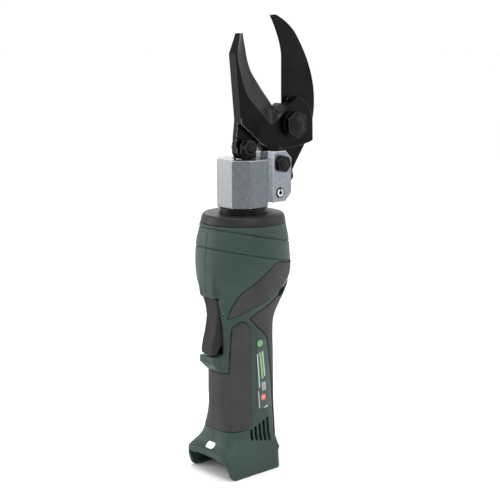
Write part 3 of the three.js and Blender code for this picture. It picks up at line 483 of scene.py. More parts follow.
def curve_through(points, steps=6):
    """Points of a smooth curve through the given ones."""
    points = np.array(points, float)
    last = len(points) - 1
    result = []
    for i in range(last):
        p = [points[min(max(i + k, 0), last)] for k in (-1, 0, 1, 2)]
        for t in np.arange(steps) / steps:
            result.append(0.5 * (2 * p[1] + (p[2] - p[0]) * t
                                 + (2 * p[0] - 5 * p[1] + 4 * p[2] - p[3]) * t ** 2
                                 + (3 * p[1] - p[0] - 3 * p[2] + p[3]) * t ** 3))
    result.append(points[-1])
    return [tuple(p) for p in result]


def bent(a, b, c, steps=8):
    """Points of a quadratic curve from a to c, without a itself."""
    a, b, c = (np.array(p, float) for p in (a, b, c))
    ts = np.arange(1, steps + 1) / steps
    return [tuple(a * (1 - t) ** 2 + 2 * b * t * (1 - t) + c * t * t) for t in ts]


def arc(centre, radius, start, end, steps=16):
    angles = np.linspace(start, end, steps + 1)
    return [(centre[0] + radius * math.cos(a), centre[1] + radius * math.sin(a)) for a in angles]


# ---- from a field to a mesh ----------------------------------------------------------------------


def crossings(field, value, axes, axis):
    """Where the grid's edges along one axis cross the surface: nodes, points and directions."""
    low = tuple(slice(None, -1) if i == axis else slice(None) for i in range(3))
    high = tuple(slice(1, None) if i == axis else slice(None) for i in range(3))
    crossed = (value[low] < 0) != (value[high] < 0)
    nodes = np.argwhere(crossed)
    first, second = value[low][crossed], value[high][crossed]
    cell = axes[axis][1] - axes[axis][0]
    points = np.stack([axes[i][nodes[:, i]] for i in range(3)], axis=1)
    start = np.zeros(len(nodes))
    end = np.ones(len(nodes))
    t = first / (first - second)
    for _ in range(2):
        trial = points.copy()
        trial[:, axis] += t * cell
        here = field(trial[:, 0], trial[:, 1], trial[:, 2])
        same = (here < 0) == (first < 0)
        start, first = np.where(same, t, start), np.where(same, here, first)
        end, second = np.where(same, end, t), np.where(same, second, here)
        t = start + (end - start) * first / (first - second)
    points[:, axis] += t * cell
    return nodes, points, value[low][crossed] < 0


def steepness(field, points, step=0.01):
    """The field's direction of rise at the points."""
    corners = np.array([(1, -1, -1), (-1, -1, 1), (-1, 1, -1), (1, 1, 1)], float)
    total = np.zeros(points.shape)
    for corner in corners:
        p = points + corner * step
        total += corner * field(p[:, 0], p[:, 1], p[:, 2])[:, None]
    return total / np.maximum(np.linalg.norm(total, axis=1, keepdims=True), 1e-12)


def contour(field, low, high, cell):
    """Vertices and quads of the surface where the field is 0, with its sharp edges kept."""
    axes = [np.arange(a - 1.5 * cell, b + 1.6 * cell, cell) for a, b in zip(low, high)]
    shape = tuple(len(a) for a in axes)
    value = field(axes[0][:, None, None], axes[1][None, :, None], axes[2][None, None, :])
    value = np.broadcast_to(value, shape)
    strides = np.array([shape[1] * shape[2], shape[2], 1])
    owners, samples, quads = [], [], []
    for axis in range(3):
        nodes, points, leaving = crossings(field, value, axes, axis)
        normals = steepness(field, points)
        second, third = (axis + 1) % 3, (axis + 2) % 3
        ring = []
        for u, v in ((-1, -1), (0, -1), (0, 0), (-1, 0)):
            cells = nodes.copy()
            cells[:, second] += u
            cells[:, third] += v
            ring.append(cells @ strides)
            owners.append(ring[-1])
            samples.append(np.hstack([points, normals]))
        quad = np.stack(ring, axis=1)
        quads.append(np.where(leaving[:, None], quad, quad[:, ::-1]))
    owners, samples, quads = np.concatenate(owners), np.concatenate(samples), np.concatenate(quads)
    used, index = np.unique(owners, return_inverse=True)
    points, normals = samples[:, :3], samples[:, 3:]
    count = np.bincount(index).astype(float)
    centre = np.stack([np.bincount(index, points[:, i]) for i in range(3)], axis=1) / count[:, None]
    pull = np.zeros((len(used), 3, 3))
    goal = np.zeros((len(used), 3))
    offset = np.einsum("ij,ij->i", normals, points - centre[index])
    for i in range(3):
        goal[:, i] = np.bincount(index, normals[:, i] * offset)
        for j in range(3):
            pull[:, i, j] = np.bincount(index, normals[:, i] * normals[:, j])
    pull += 0.06 * np.eye(3)
    vertex = centre + np.linalg.solve(pull, goal[:, :, None])[:, :, 0]
    corner = np.stack([used // strides[0], used // strides[1] % shape[1], used % shape[2]], axis=1)
    origin = np.array([a[0] for a in axes])
    lowest = origin + corner * cell
    vertex = np.clip(vertex, lowest - 0.05 * cell, lowest + 1.05 * cell)
    return vertex, np.searchsorted(used, quads)


def add_mesh(name, vertices, faces):
    """A mesh object from millimetres above the rim."""
    mesh = bpy.data.meshes.new(name)
    vertices = np.array(vertices, float) - (0, 0, SEAT)
    mesh.from_pydata((vertices * MM).tolist(), [], [tuple(map(int, f)) for f in faces])
    mesh.validate()
    mesh.update()
    mesh.shade_smooth()
    thing = bpy.data.objects.new(name, mesh)
    bpy.context.scene.collection.objects.link(thing)
    return thing


def stand_for(thing, *nodes, look=None):
    """The thing replaces CAD nodes, rides on their body and takes their material."""
    bodies = frame["record"]["behaviour"]["bodies"]
    body = next(name for name, members in bodies.items() if nodes[0] in members)
    slot = SLOT_OF[nodes[0]]
    thing.data.materials.append(look or LOOKS[slot])
    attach(thing, body)
    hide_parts(*nodes)
    return thing


def carve(node, field, cell, look=None, margin=0.0, box=None):
    """Replaces a CAD node by the surface of a field inside the node's box."""
    low, high = box or limits(node)
    low, high = np.array(low) - margin, np.array(high) + margin
    vertices, quads = contour(field, low, high, cell * DRAFT)
    return stand_for(add_mesh(node + "_skin", vertices, quads), node, look=look)


def limits(node):
    """A CAD node's box in millimetres above the rim."""
    low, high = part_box(node)
    return np.array(low) / MM + (0, 0, SEAT), np.array(high) / MM + (0, 0, SEAT)


def middle(node):
    low, high = limits(node)
    return (low + high) / 2


# ---- housing -----------------------------------------------------------------------------------

# Outer surface: height, half width, reach to the front, reach to the rear, squareness of the
# front half and of the rear half.
PROFILE = np.array([
    (10, 40.0, 58.0, 19.2, 4, 7),
    (13.4, 36, 52, 19.0, 4, 5.5),
    (16.5, 33, 48, 20.3, 4, 4),
    (18.5, 31.2, 43.6, 21.2, 4, 3),
    (20.5, 30, 39.6, 22, 4, 2.7),
    (22.5, 28.4, 36.4, 22.6, 4.2, 2.6),
    (24.5, 26.2, 34.2, 23, 4.5, 2.6),
    (26.5, 24.6, 33.2, 23.4, 4.6, 2.6),
    (30, 23.2, 32.4, 23.8, 3.8, 2.6),
    (36, 22.3, 31.5, 24.1, 3.1, 2.6),
    (48, 21.4, 30.0, 24.0, 2.5, 2.5),
    (70, 21.2, 29.8, 23.8, 2.4, 2.4),
    (95, 21.0, 29.8, 23.4, 2.4, 2.4),
    (112, 21.0, 30.0, 23.4, 2.3, 2.3),
    (123, 21.6, 31.2, 24.4, 2.2, 2.2),
    (130, 23.2, 32.4, 27.4, 2.1, 2.1),
    (137, 26.3, 33.2, 31.2, 2, 2),
    (145, 30.4, 35.2, 34.2, 2, 2),
    (156, 35.0, 38.0, 36.6, 2, 2),
    (168, 37.4, 38.7, 37.5, 2, 2),
    (180, 37.4, 38.4, 36.8, 2, 2),
    (190, 36.4, 37.4, 35.8, 2, 2),
    (202.5, 33.9, 34.5, 33.5, 2, 2),
])
WALL = 2.8
DECK = 16.5
BAY = 13.5
SPLIT = 0.15
TOP = limits("housing_right")[1][2]
FAR = 60.0


def fine_profile():
    """The profile at close heights, smoothly between its rows."""
    heights, rows = PROFILE[:, 0], PROFILE[:, 1:]
    slopes = np.gradient(rows, heights, axis=0)
    fine = np.arange(heights[0], heights[-1] + 0.01, 0.25)
    i = np.clip(np.searchsorted(heights, fine, side="right") - 1, 0, len(heights) - 2)
    span = (heights[i + 1] - heights[i])[:, None]
    t = ((fine - heights[i]) / span[:, 0])[:, None]
    values = (rows[i] * (2 * t ** 3 - 3 * t ** 2 + 1) + span * slopes[i] * (t ** 3 - 2 * t ** 2 + t)
              + rows[i + 1] * (3 * t ** 2 - 2 * t ** 3) + span * slopes[i + 1] * (t ** 3 - t ** 2))
    return fine, values, np.gradient(values, fine, axis=0)


FINE_Z, FINE_ROWS, FINE_SLOPES = fine_profile()


def barrel_field(x, y, z):
    side, front, rear, front_power, rear_power = (np.interp(z, FINE_Z, FINE_ROWS[:, i]) for i in range(5))
    side_s, front_s, rear_s = (np.interp(z, FINE_Z, FINE_SLOPES[:, i]) for i in range(3))
    reach = np.where(y < 0, front, rear)
    power = np.where(y < 0, front_power, rear_power)
    reach_s = np.where(y < 0, front_s, rear_s)
    u = np.maximum(np.abs(x) / side, 1e-4)
    v = np.maximum(np.abs(y) / reach, 1e-4)
    t = (u ** power + v ** power) ** (1 / power)
    scale = t ** (1 - power)
    tx = scale * u ** (power - 1) / side
    ty = scale * v ** (power - 1) / reach
    tz = -scale * (u ** power * side_s / side + v ** power * reach_s / reach)
    return (t - 1) / np.sqrt(tx ** 2 + ty ** 2 + tz ** 2)


SHOULDER = Polygon([(-27, 129)] + curve_through([
    (-25.5, 141), (-23.5, 150.5), (-18, 156.5), (-12, 162.5), (-4.5, 169), (1.9, 173.5), (8, 173.4),
    (15.6, 171.8), (24, 170.8),
]) + [(FAR, 170), (FAR, 161)] + curve_through([
    (24, 160), (15.7, 158.2), (9, 152), (2.2, 144.6), (-5, 140.8), (-12.5, 137),
]))
BACKSTRAP = Polygon(curve_through([
    (-11.2, 128.3), (-4.7, 133.3), (2.9, 137.6), (9.5, 144), (16, 150), (24, 153.4),
]) + [(FAR, 156), (FAR, 27)] + curve_through([
    (14.9, 27), (16.7, 38), (15.4, 55), (13.6, 72.6), (11.1, 89), (8.9, 100.6), (6.5, 111.5),
    (-3, 120.3),
]))
GRIP = Polygon(curve_through([
    (-23.8, 121.5), (-18.3, 126), (-12.8, 123), (-10.8, 116.5), (-10.4, 94), (-10.2, 42),
]) + [(-13.5, 38), (-25.7, 37), (-FAR, 38), (-FAR, 83), (-25.5, 84)])
LABEL = Polygon([(-4, 52), (13.4, 52), (10, 88), (7.4, 104), (5.4, 110), (-4, 110)])
PROUD = 0.45                    # soft panels stand this far out of the housing
SUNK = 1.2                      # and are laid this deep into it
GAP = 0.3

SCREWS = {
    "screw_pump_right": (1, True), "screw_pump_left": (-1, True), "screw_collar": (-1, False),
    "screw_grip": (-1, False), "screw_foot": (-1, False),
}
HEAD_RADIUS, SHANK_RADIUS, BOSS_RADIUS = 3.7, 1.6, 4.2


def screw_fields(x, y, z):
    """The bosses and the holes of all the housing's screws."""
    bosses, holes = [], []
    for name, (side, short) in SCREWS.items():
        low, high = limits(name)
        _, cy, cz = (low + high) / 2
        head = high[0] if side > 0 else -low[0]
        tip = low[0] if side > 0 else -high[0]
        along = x * side
        away = bar_field(y, z, (cy, cz), 0)
        wide = BOSS_RADIUS + (1.6 if short else 0)
        boss = away - wide
        if short:
            boss = both(boss, head - 3.4 - along)
        bosses.append(boss)
        sink = both(away - HEAD_RADIUS - GAP, head - 2.5 - along)
        shank = both(away - SHANK_RADIUS - GAP, tip - 1 - along)
        holes.append(either(sink, shank))
    return either(*bosses), either(*holes)


FOOT = {"half": 26.6, "lean": 0.085, "front": 40.0, "rear": 18.5, "radius": 5.0, "top": 13.0,
        "opening": 0.45, "flare": 24.4}
FOOT_INSIDE = {"half": 22.4, "front": 37.2}
BAY_HALF = 23.4
MOUTH_LIP = -31.0               # the front opening's roof rises from here forwards


def foot_field(x, y, z):
    """The room for the battery foot: flat sides that lean in, and a rear that opens above it."""
    radius, front, rear = FOOT["radius"], FOOT["front"], FOOT["rear"]
    opened = rear + FOOT["opening"] * np.maximum(z - FOOT["top"], 0)
    u = np.abs(x) - (FOOT["half"] - FOOT["lean"] * z) + radius
    v = np.maximum(-y - front, y - opened) + radius
    plan = np.sqrt(np.maximum(u, 0) ** 2 + np.maximum(v, 0) ** 2) + np.minimum(both(u, v), 0) - radius
    side = Polygon(
        [(-front, FAR), (-front, 17), (-37.8, 11.3), (-34.8, 3.8)]
        + bent((-34.8, 3.8), (-33.2, 0.6), (-30.6, 0))
        + [(rear - 3, 0)] + bent((rear - 3, 0), (rear, 0), (rear, 3))
        + [(rear, 13.6), (rear + 5.7, 26), (FAR, 26), (FAR, FAR)])
    return round_both(plan, side(y, z), 0.5)


def guard_field(x, y, z):
    side = Polygon([(-38.5, 98.3), (-25, 98.3), (-25, 80)] + curve_through([
        (-27, 82), (-30.5, 85.2), (-35.5, 89.8), (-38.5, 92.9)]))
    return round_both(side(y, z), np.abs(x) - 9, 1.4)


LEDGE_FRONT, LEDGE_BOTTOM, LEDGE_TOP = -32.5, 126.0, 146.0


def brow_field(x, y, z):
    side = Polygon([(-30, LEDGE_TOP)] + curve_through([
        (-37.4, LEDGE_TOP), (-38.4, 149), (-38.8, 154), (-38.4, 161), (-36, 164)]) + [(-30, 165)])
    return round_both(side(y, z), np.abs(x) - 9, 1.6)


def groove_field(x, y, z):
    """Two shallow rings round the bulge, tilted up towards the front."""
    depth = barrel_field(x, y, z) + 0.9
    rings = []
    slope, half_width = 0.22, 0.6
    for height in (192.7, 177):
        off = np.abs(z - (height - slope * y)) / math.hypot(1, slope) - half_width
        rings.append(both(off, -depth))
    return either(*rings)


def vent_field(x, y, z, i):
    """The i-th slot from the front, on both sides: each lies lower and reaches higher."""
    centre = -10.4 + 4.4 * i
    low, high = 28 - 0.95 * i, 37 + 1.6 * i
    return block_field(np.abs(x), y, z, (5, centre - 1.5, low), (FAR, centre + 1.5, high), 0.9)


def housing_field(half):
    """One half of the clamshell: half is 1 for the right one and -1 for the left one."""
    well_half, well_rear, well_bottom, well_top = 8.2, -19, 99, 145.6
    pin = middle("trigger_pin")
    lens_low, lens_high = limits("indicator_lens")

    def field(x, y, z):
        skin = barrel_field(x, y, z)
        foot = foot_field(x, y, z)
        flare = round_both(skin, foot, 0.6)
        trunk = np.where(z > 34, skin, flare)
        ledge = block_field(x, y, z, (-FAR, -2 * FAR, LEDGE_BOTTOM), (FAR, LEDGE_FRONT, LEDGE_TOP), 0.8)
        outer = round_both(trunk, -ledge, 0.5)
        outer = soft_either(outer, guard_field(x, y, z), 2.4)
        outer = soft_either(outer, brow_field(x, y, z), 1.6)
        outer = round_both(outer, z - TOP, 0.6)
        outer = both(outer, -groove_field(x, y, z))
        front_wall = block_field(x, y, z, (-FAR, -2 * FAR, LEDGE_BOTTOM - WALL),
                                 (FAR, LEDGE_FRONT + WALL, LEDGE_TOP + WALL))
        low_room = both(np.abs(x) - FOOT_INSIDE["half"], -y - FOOT_INSIDE["front"])
        low_room = np.where(z < FOOT["flare"], low_room, -FAR)
        hollow = both(skin + WALL, DECK - z, -front_wall, low_room)
        bosses, holes = screw_fields(x, y, z)
        shell = both(outer, -hollow)
        shell = either(shell, both(bosses, trunk + 1, 17 - z, z - 199))
        bay = block_field(x, y, z, (-BAY_HALF, -FAR, -9), (BAY_HALF, FOOT["rear"] - WALL, BAY), 1.2)
        ahead = y - MOUTH_LIP
        roof = both(z - BAY + 0.17 * ahead, np.abs(x) - FOOT_INSIDE["half"])
        crown = both(z - BAY + 0.33 * ahead, np.abs(x) - 13)
        lip = both(ahead, either(roof, crown))
        mouth = block_field(x, y, z, (-13.2, -20.6, 0), (13.2, 8.6, DECK + 6), 0.8)
        well = block_field(x, y, z, (-well_half, -FAR, well_bottom),
                           (well_half, well_rear, well_top), 1.0)
        pin_hole = bar_field(y, z, pin[1:], 1.9) + 0 * x
        pin_hole = both(pin_hole, np.abs(x) - 11.2)
        vents = [vent_field(x, y, z, i) for i in range(5)]
        lens = block_field(x, y, z, (lens_low[0] - GAP, -FAR, lens_low[2] - GAP),
                           (lens_high[0] + GAP, -20, lens_high[2] + GAP), 1.4)
        lens = both(lens, -(skin + 1.8))
        neck = both(bar_field(x, y, (0, 0), 23.4), 190 - z)
        inside_pockets = [both(outline(y, z) - 0.5, -(skin + SUNK + GAP)) for outline in
                          (SHOULDER, BACKSTRAP, GRIP)]
        cuts = either(bay, lip, mouth, well, pin_hole, *vents, lens, neck, *inside_pockets, holes)
        rails = block_field(np.abs(x), y, z, (20.6, -30, 1.2), (25, FOOT["rear"] - WALL + 0.4, 3.4), 0.3)
        shell = either(round_both(shell, -cuts, 0.3), both(rails, foot))
        return both(shell, SPLIT - x * half)

    return field


def panel_field(outline, half=0):
    """A soft panel on one side, or right across the front where half is 0."""
    def field(x, y, z):
        skin = barrel_field(x, y, z)
        layer = round_both(skin - PROUD, outline(y, z), 0.5)
        _, holes = screw_fields(x, y, z)
        layer = both(layer, -(skin + SUNK), -(holes - GAP))
        return both(layer, SPLIT - x * half) if half else layer

    return field


def add_housing():
    for side, half in (("right", 1), ("left", -1)):
        carve("housing_" + side, housing_field(half), 0.8)
        for name, outline in (("shoulder_panel", SHOULDER), ("backstrap", BACKSTRAP)):
            carve(f"{name}_{side}", panel_field(outline, half), 0.8)
    low, high = limits("grip_panel_right")
    vertices, quads = contour(panel_field(GRIP), (-high[0], low[1], low[2]), high, 0.8 * DRAFT)
    stand_for(add_mesh("grip_panel_skin", vertices, quads), "grip_panel_right", "grip_panel_left")


def label_field(x, y, z):
    skin = barrel_field(x, y, z)
    return both(round_both(skin - 0.35, LABEL(y, z), 0.2), -(skin + 0.7), SPLIT - x)


def lens_field(x, y, z):
    low, high = limits("indicator_lens")
    skin = barrel_field(x, y, z)
    window = block_field(x, y, z, (low[0], -FAR, low[2]), (high[0], -20, high[2]), 1.6)
    return both(round_both(window, skin - 0.3, 0.4), -(skin + 1.4))


def filleted(points, radius, steps=4):
    """A closed outline with its corners rounded."""
    points = [np.array(p, float) for p in points]
    result = []
    for i, corner in enumerate(points):
        before, after = points[i - 1], points[(i + 1) % len(points)]
        to_before, to_after = before - corner, after - corner
        reach = min(radius, 0.45 * np.linalg.norm(to_before), 0.45 * np.linalg.norm(to_after))
        start = corner + to_before / np.linalg.norm(to_before) * reach
        finish = corner + to_after / np.linalg.norm(to_after) * reach
        result += [tuple(start)] + bent(start, corner, finish, steps)
    return result


def turned(name, profile, around=96):
    """A closed ring about the main axis from (radius, height) points, counter-clockwise."""
    profile = np.array(profile, float)
    angles = 2 * math.pi * np.arange(around) / around
    vertices, faces = [], []
    for radius, height in profile:
        vertices += [(radius * math.cos(a), radius * math.sin(a), height) for a in angles]
    rows = len(profile)
    for i in range(rows):
        j = (i + 1) % rows
        for k in range(around):
            m = (k + 1) % around
            faces.append((i * around + k, i * around + m, j * around + m, j * around + k))
    return add_mesh(name, vertices, faces)


def add_collar():
    low, high = limits("collar_ring")
    bottom, top, rim = low[2], high[2], high[0]
    outline = filleted([
        (23.6, bottom), (rim, bottom), (rim - 0.4, bottom + 2.9), (rim - 1.4, top - 1.1),
        (rim - 2.6, top), (19.2, top), (19.2, top - 2.3), (23.6, top - 2.3),
    ], 0.6)
    stand_for(turned("collar_ring_skin", outline), "collar_ring")

    low, high = limits("swivel_ring")
    inner, outer = 17.3, high[0]
    ridges = []
    for level in np.arange(low[2] + 0.6, high[2] - 0.5, 0.8):
        ridges += [(outer, level), (outer - 0.25, level + 0.25), (outer, level + 0.5)]
    outline = [(inner, low[2]), (outer - 0.3, low[2]), (outer, low[2] + 0.3)] + ridges + [
        (outer, high[2] - 0.4), (outer - 0.4, high[2]), (inner + 0.3, high[2]), (inner, high[2] - 0.3)]
    stand_for(turned("swivel_ring_skin", outline), "swivel_ring", look=LOOKS["black_steel"])


def add_housing_details():
    carve("label_plate", label_field, 0.5, look=label_print(), margin=0.9)
    carve("indicator_lens", lens_field, 0.4)
    add_collar()


# ---- trigger ------------------------------------------------------------------------------------


def trigger_field(x, y, z):
    half = limits("trigger")[1][0]
    pin = middle("trigger_pin")
    face = curve_through([
        (-33.4, 144.4), (-32.7, 138), (-32.6, 132), (-33.2, 126), (-34.8, 118), (-37, 110),
        (-38.2, 103), (-37.4, 99.9)])
    back = [(-34, 99.6), (-31, 103), (-26.2, 110), (-26.1, 118), (-24.6, 126), (-23.6, 138),
            (-24.6, 144.4)]
    lever = round_both(Polygon(face + back)(y, z), np.abs(x) - half, 1.5)
    spring_space = block_field(x, y, z, (-4.6, -31.3, 128.5), (4.6, -20, 140), 0.5)
    eye = bar_field(y, z, pin[1:], 1.9)
    return both(lever, -spring_space, -eye)


# ---- bolts, nuts and pins, all with their axis along X -----------------------------------------


def hexagon(u, v, across, turn=0.0):
    sides = [np.abs(u * math.cos(turn + k * math.pi / 3) + v * math.sin(turn + k * math.pi / 3))
             for k in range(3)]
    return both(*sides) - across / 2


def hex_piece(centre, across, low, high, chamfered, hole=0.0, turn=0.0):
    """A hexagon between two places along X. chamfered says which ends are turned to a cone."""
    def field(x, y, z):
        u, v = y - centre[0], z - centre[1]
        away = np.sqrt(u * u + v * v)
        shape = both(hexagon(u, v, across, turn), low - x, x - high)
        corner = across / 2 * 1.04
        if "high" in chamfered:
            shape = both(shape, (away - corner + (x - high) * 1.7) / 2)
        if "low" in chamfered:
            shape = both(shape, (away - corner + (low - x) * 1.7) / 2)
        return both(shape, hole - away) if hole else shape
    return field


def thread_end(centre, radius, low, high, pitch, plain_to=None):
    """A threaded shank whose high end has a chamfer and a slight dome."""
    plain = low if plain_to is None else plain_to

    def field(x, y, z):
        away = bar_field(y, z, centre, 0)
        wave = np.abs((x - low) / pitch % 1 - 0.5) * 2
        depth = np.where(x > plain, 0.45 * wave * pitch * 0.5, 0)
        side = (away - radius + depth) * 0.8
        dome = x - high + 0.02 * away ** 2
        cone = (away + (x - high) - radius + 0.9) / 1.42
        return both(side, low - x, dome, cone)
    return field


def round_head(centre, radius, low, high):
    def field(x, y, z):
        away = bar_field(y, z, centre, 0)
        return both(round_both(away - radius, low - x, 0.5), x - high)
    return field


def add_fasteners():
    pivot, clevis, drive = middle("pivot_bolt"), middle("clevis_bolt"), middle("drive_bolt")
    for name, centre, across, radius, pitch, turn in (
            ("pivot", pivot, 19, 7, 2.0, math.radians(4)),
            ("clevis", clevis, 12.4, 4, 1.25, math.radians(14)),
            ("drive", drive, 11.5, 3.5, 1.25, math.radians(22))):
        low, high = limits(name + "_nut")
        nut = hex_piece(centre[1:], across, low[0], high[0], ("low", "high"), radius + 0.3, turn)
        carve(name + "_nut", nut, 0.35, margin=0.6)
        bolt_low, bolt_high = limits(name + "_bolt")
        head_top = {"pivot": 8.0, "clevis": 4.4, "drive": 1.8}[name] + bolt_low[0]
        head = hex_piece(centre[1:], across, bolt_low[0], head_top - 0.3, ("low",), 0, turn)
        if name == "drive":
            head = round_head(centre[1:], radius + 1, bolt_low[0], head_top - 0.3)
        shank = thread_end(centre[1:], radius, head_top - 1, bolt_high[0], pitch, low[0] - 1)

        def bolt(x, y, z, head=head, shank=shank):
            return either(head(x, y, z), shank(x, y, z))

        carve(name + "_bolt", bolt, 0.35, margin=0.6)

    low, high = limits("clevis_pin")
    pin_centre, radius = (low + high) / 2, (high[1] - low[1]) / 2

    def slotted_pin(x, y, z):
        u, v = y - pin_centre[1], z - pin_centre[2]
        away = np.sqrt(u * u + v * v)
        wall = round_both(away - radius, np.abs(x - pin_centre[0]) - (high[0] - low[0]) / 2, 0.5)
        return both(wall, radius * 0.5 - away, -both(np.abs(u) - 0.5, -v))

    carve("clevis_pin", slotted_pin, 0.3)

    low, high = limits("pivot_washer")
    centre, radius = (low + high) / 2, (high[2] - low[2]) / 2

    def washer(x, y, z):
        away = bar_field(y, z, centre[1:], 0)
        disc = round_both(away - radius, np.abs(x - centre[0]) - (high[0] - low[0]) / 2, 0.3)
        return both(disc, 7.3 - away)

    carve("pivot_washer", washer, 0.3)

    for name, (side, _) in SCREWS.items():
        low, high = limits(name)
        centre, radius = (low + high) / 2, (high[2] - low[2]) / 2

        def screw(x, y, z, low=low, high=high, centre=centre, radius=radius, side=side):
            along = x * side
            head_end = max(low[0] * side, high[0] * side)
            tip = min(low[0] * side, high[0] * side)
            away = bar_field(y, z, centre[1:], 0)
            head = round_both(away - radius, along - head_end, 0.5)
            head = both(head, head_end - 2.2 - along)
            socket = both(hexagon(y - centre[1], z - centre[2], 2.9), head_end - 1.3 - along)
            shank = both(away - 1.6, tip - along, along - head_end + 1)
            return either(both(head, -socket), shank)

        carve(name, screw, 0.4)


# ---- head block ---------------------------------------------------------------------------------


BLOCK = {"flat": 18.1, "bottom": 214.4, "top": 252.3}
EARS = {"half": 15.5, "slot": 5.3, "front": 18.8, "bottom": 216.8, "corner": 6.3}
NECK_RADIUS, BORE_RADIUS, ROD_HOLE, WIPER_HOLE, PORT = 17.0, 13.0, 6.8, 9.2, 2.5
BORE_BOTTOM, BORE_TOP, WIPER_BOTTOM = 184.0, 247.0, 249.3
CLEVIS_BOLT_HOLE, CLEVIS_PIN_HOLE, PIVOT_HOLE = 4.3, 3.5, 7.3


def head_field(x, y, z):
    low, high = limits("head_block")
    half, rear, neck_bottom, ear_top = high[0], high[1], low[2], high[2]
    bottom, top = BLOCK["bottom"], BLOCK["top"]
    ear_half, slot, corner = EARS["half"], EARS["slot"], EARS["corner"]
    ear_front, ear_bottom = EARS["front"], EARS["bottom"]
    cut_corner = (half + BLOCK["flat"] / 2) / math.sqrt(2)
    flats = [x * math.cos(k * math.pi / 4) + y * math.sin(k * math.pi / 4)
             - (half if k % 2 == 0 else cut_corner) for k in range(8)]
    octagon = round_both(both(*flats), np.abs(z - (bottom + top) / 2) - (top - bottom) / 2, 0.6)
    neck = both(bar_field(x, y, (0, 0), NECK_RADIUS), neck_bottom - z, z - bottom - 1)
    side = Polygon([
        (ear_front, ear_bottom), (rear - corner, ear_bottom), (rear, ear_bottom + corner),
        (rear, ear_top - corner), (rear - corner, ear_top), (ear_front, ear_top),
    ])
    ears = round_both(side(y, z), np.abs(x) - ear_half, 0.7)
    wide, back = slot + 1.5, ear_front + 3
    plan = Polygon([(-wide, back), (-wide, 17.5), (-4.2, 15), (4.2, 15), (wide, 17.5), (wide, back)])
    boss = both(round_both(plan(x, y), z - ear_top, 0.8), top - 1 - z)
    solid = either(octagon, neck, ears, boss)
    gap = block_field(x, y, z, (-slot, 19.5, 200), (slot, 60, 300), 0.4)
    bore = both(bar_field(x, y, (0, 0), BORE_RADIUS), BORE_BOTTOM - z, z - BORE_TOP)
    rod_hole = both(bar_field(x, y, (0, 0), ROD_HOLE), BORE_BOTTOM - z)
    wiper_seat = both(bar_field(x, y, (0, 0), WIPER_HOLE), WIPER_BOTTOM - z)
    port = bar_field(x, y, (0, 0), PORT)
    bolt_hole = bar_field(y, z, middle("clevis_bolt")[1:], CLEVIS_BOLT_HOLE)
    pin = bar_field(y, z, middle("clevis_pin")[1:], 0)
    pin_hole = either(pin - CLEVIS_PIN_HOLE, (pin + (ear_half - np.abs(x)) - 4.6) / 1.42)
    return both(solid, -either(gap, bore, rod_hole, wiper_seat, port, bolt_hole + 0 * x, pin_hole))


# ---- jaws ---------------------------------------------------------------------------------------

JAW_THICKNESS = 9.0
PIVOT = middle("pivot_bolt")[1:]
LAND = 1.2                      # blunt height of the cutting edge


def ground_face(edge, crest, hollow=1.3):
    """Height of the ground face from the cutting edge to the crest where it meets the flat, and
    the zone it covers, in side view."""
    edge_far, crest_far = path_distance(edge), path_distance(crest)
    zone = Polygon(list(edge) + list(crest)[::-1])

    def height(y, z):
        from_edge, from_crest = edge_far(y, z), crest_far(y, z)
        part = from_edge / np.maximum(from_edge + from_crest, 0.01)
        return LAND + (JAW_THICKNESS - LAND) * part ** hollow

    return height, zone


def jaw_plate(outline, edge, crest, side):
    """A jaw's blade on one side of X = 0, with its ground face cut away."""
    height, zone = ground_face(edge, crest)
    middle_x = (SPLIT + JAW_THICKNESS) / 2

    def field(x, y, z):
        out = x * side
        plate = round_both(outline(y, z), np.abs(out - middle_x) - JAW_THICKNESS + middle_x, 0.45)
        raised = (height(y, z) - out) * 0.85
        return both(plate, -both(zone(y, z), raised))

    return field, zone


def moving_jaw_field():
    edge = curve_through([
        (0.5, 356), (-1, 348.8), (1.2, 338), (3.7, 327.5), (7.3, 319.3), (12.7, 312.1),
        (18.6, 304.8), (25.2, 297.4), (30.2, 291.6), (33.9, 289.3), (38.2, 291.3), (42.6, 294.3),
        (48, 299.3), (53, 303),
    ], 4)
    crest = curve_through([
        (-10.5, 356), (-12, 345), (-13.1, 335), (-12.2, 326.5), (-4.5, 304), (5, 293.5), (14.5, 284.5),
        (21.5, 278.4), (27.5, 280.5), (32.5, 284.6), (40.6, 291.8), (50, 299),
    ], 4)
    outline = Polygon(
        [(-8, 348.8)] + edge[4:-4]
        + arc(PIVOT, 22.5, math.acos(3 / 22.5), 0, 10)
        + [(67.8, 262.9), (64.5, 261.6)] + bent((64.5, 261.6), (50, 258.3), (35.5, 258.3))
        + [(24, 258.6)] + bent((24, 258.6), (16, 259.6), (8.8, 265.4))
        + [(-9.1, 279.7), (-14.6, 333.2)])
    plate, zone = jaw_plate(outline, edge, crest, 1)
    tang_outline = Polygon([
        (-9.1, 284), (-10.9, 268), (-10.6, 257), (-7, 254.2), (1, 254.2), (6, 257.3), (12, 264),
        (20, 280)])
    arm = PIVOT[0] - middle("drive_bolt")[1]
    slope = math.atan2(PIVOT[1] - middle("drive_bolt")[2], arm)
    farthest = arm / math.cos(slope)

    def field(x, y, z):
        tang = round_both(tang_outline(y, z), x - 4.8, 0.5)
        tang = both(tang, SPLIT - x)
        along = (PIVOT[0] - y) * math.cos(slope) + (PIVOT[1] - z) * math.sin(slope)
        across = (PIVOT[0] - y) * math.sin(slope) - (PIVOT[1] - z) * math.cos(slope)
        off_middle = np.maximum(np.abs(along - (arm + farthest) / 2) - (farthest - arm) / 2 - 0.35, 0)
        drive_slot = np.sqrt(off_middle ** 2 + across ** 2) - 3.95
        hole = bar_field(y, z, PIVOT, PIVOT_HOLE)
        return both(either(plate(x, y, z), tang), -drive_slot, -hole)

    return field, zone, outline


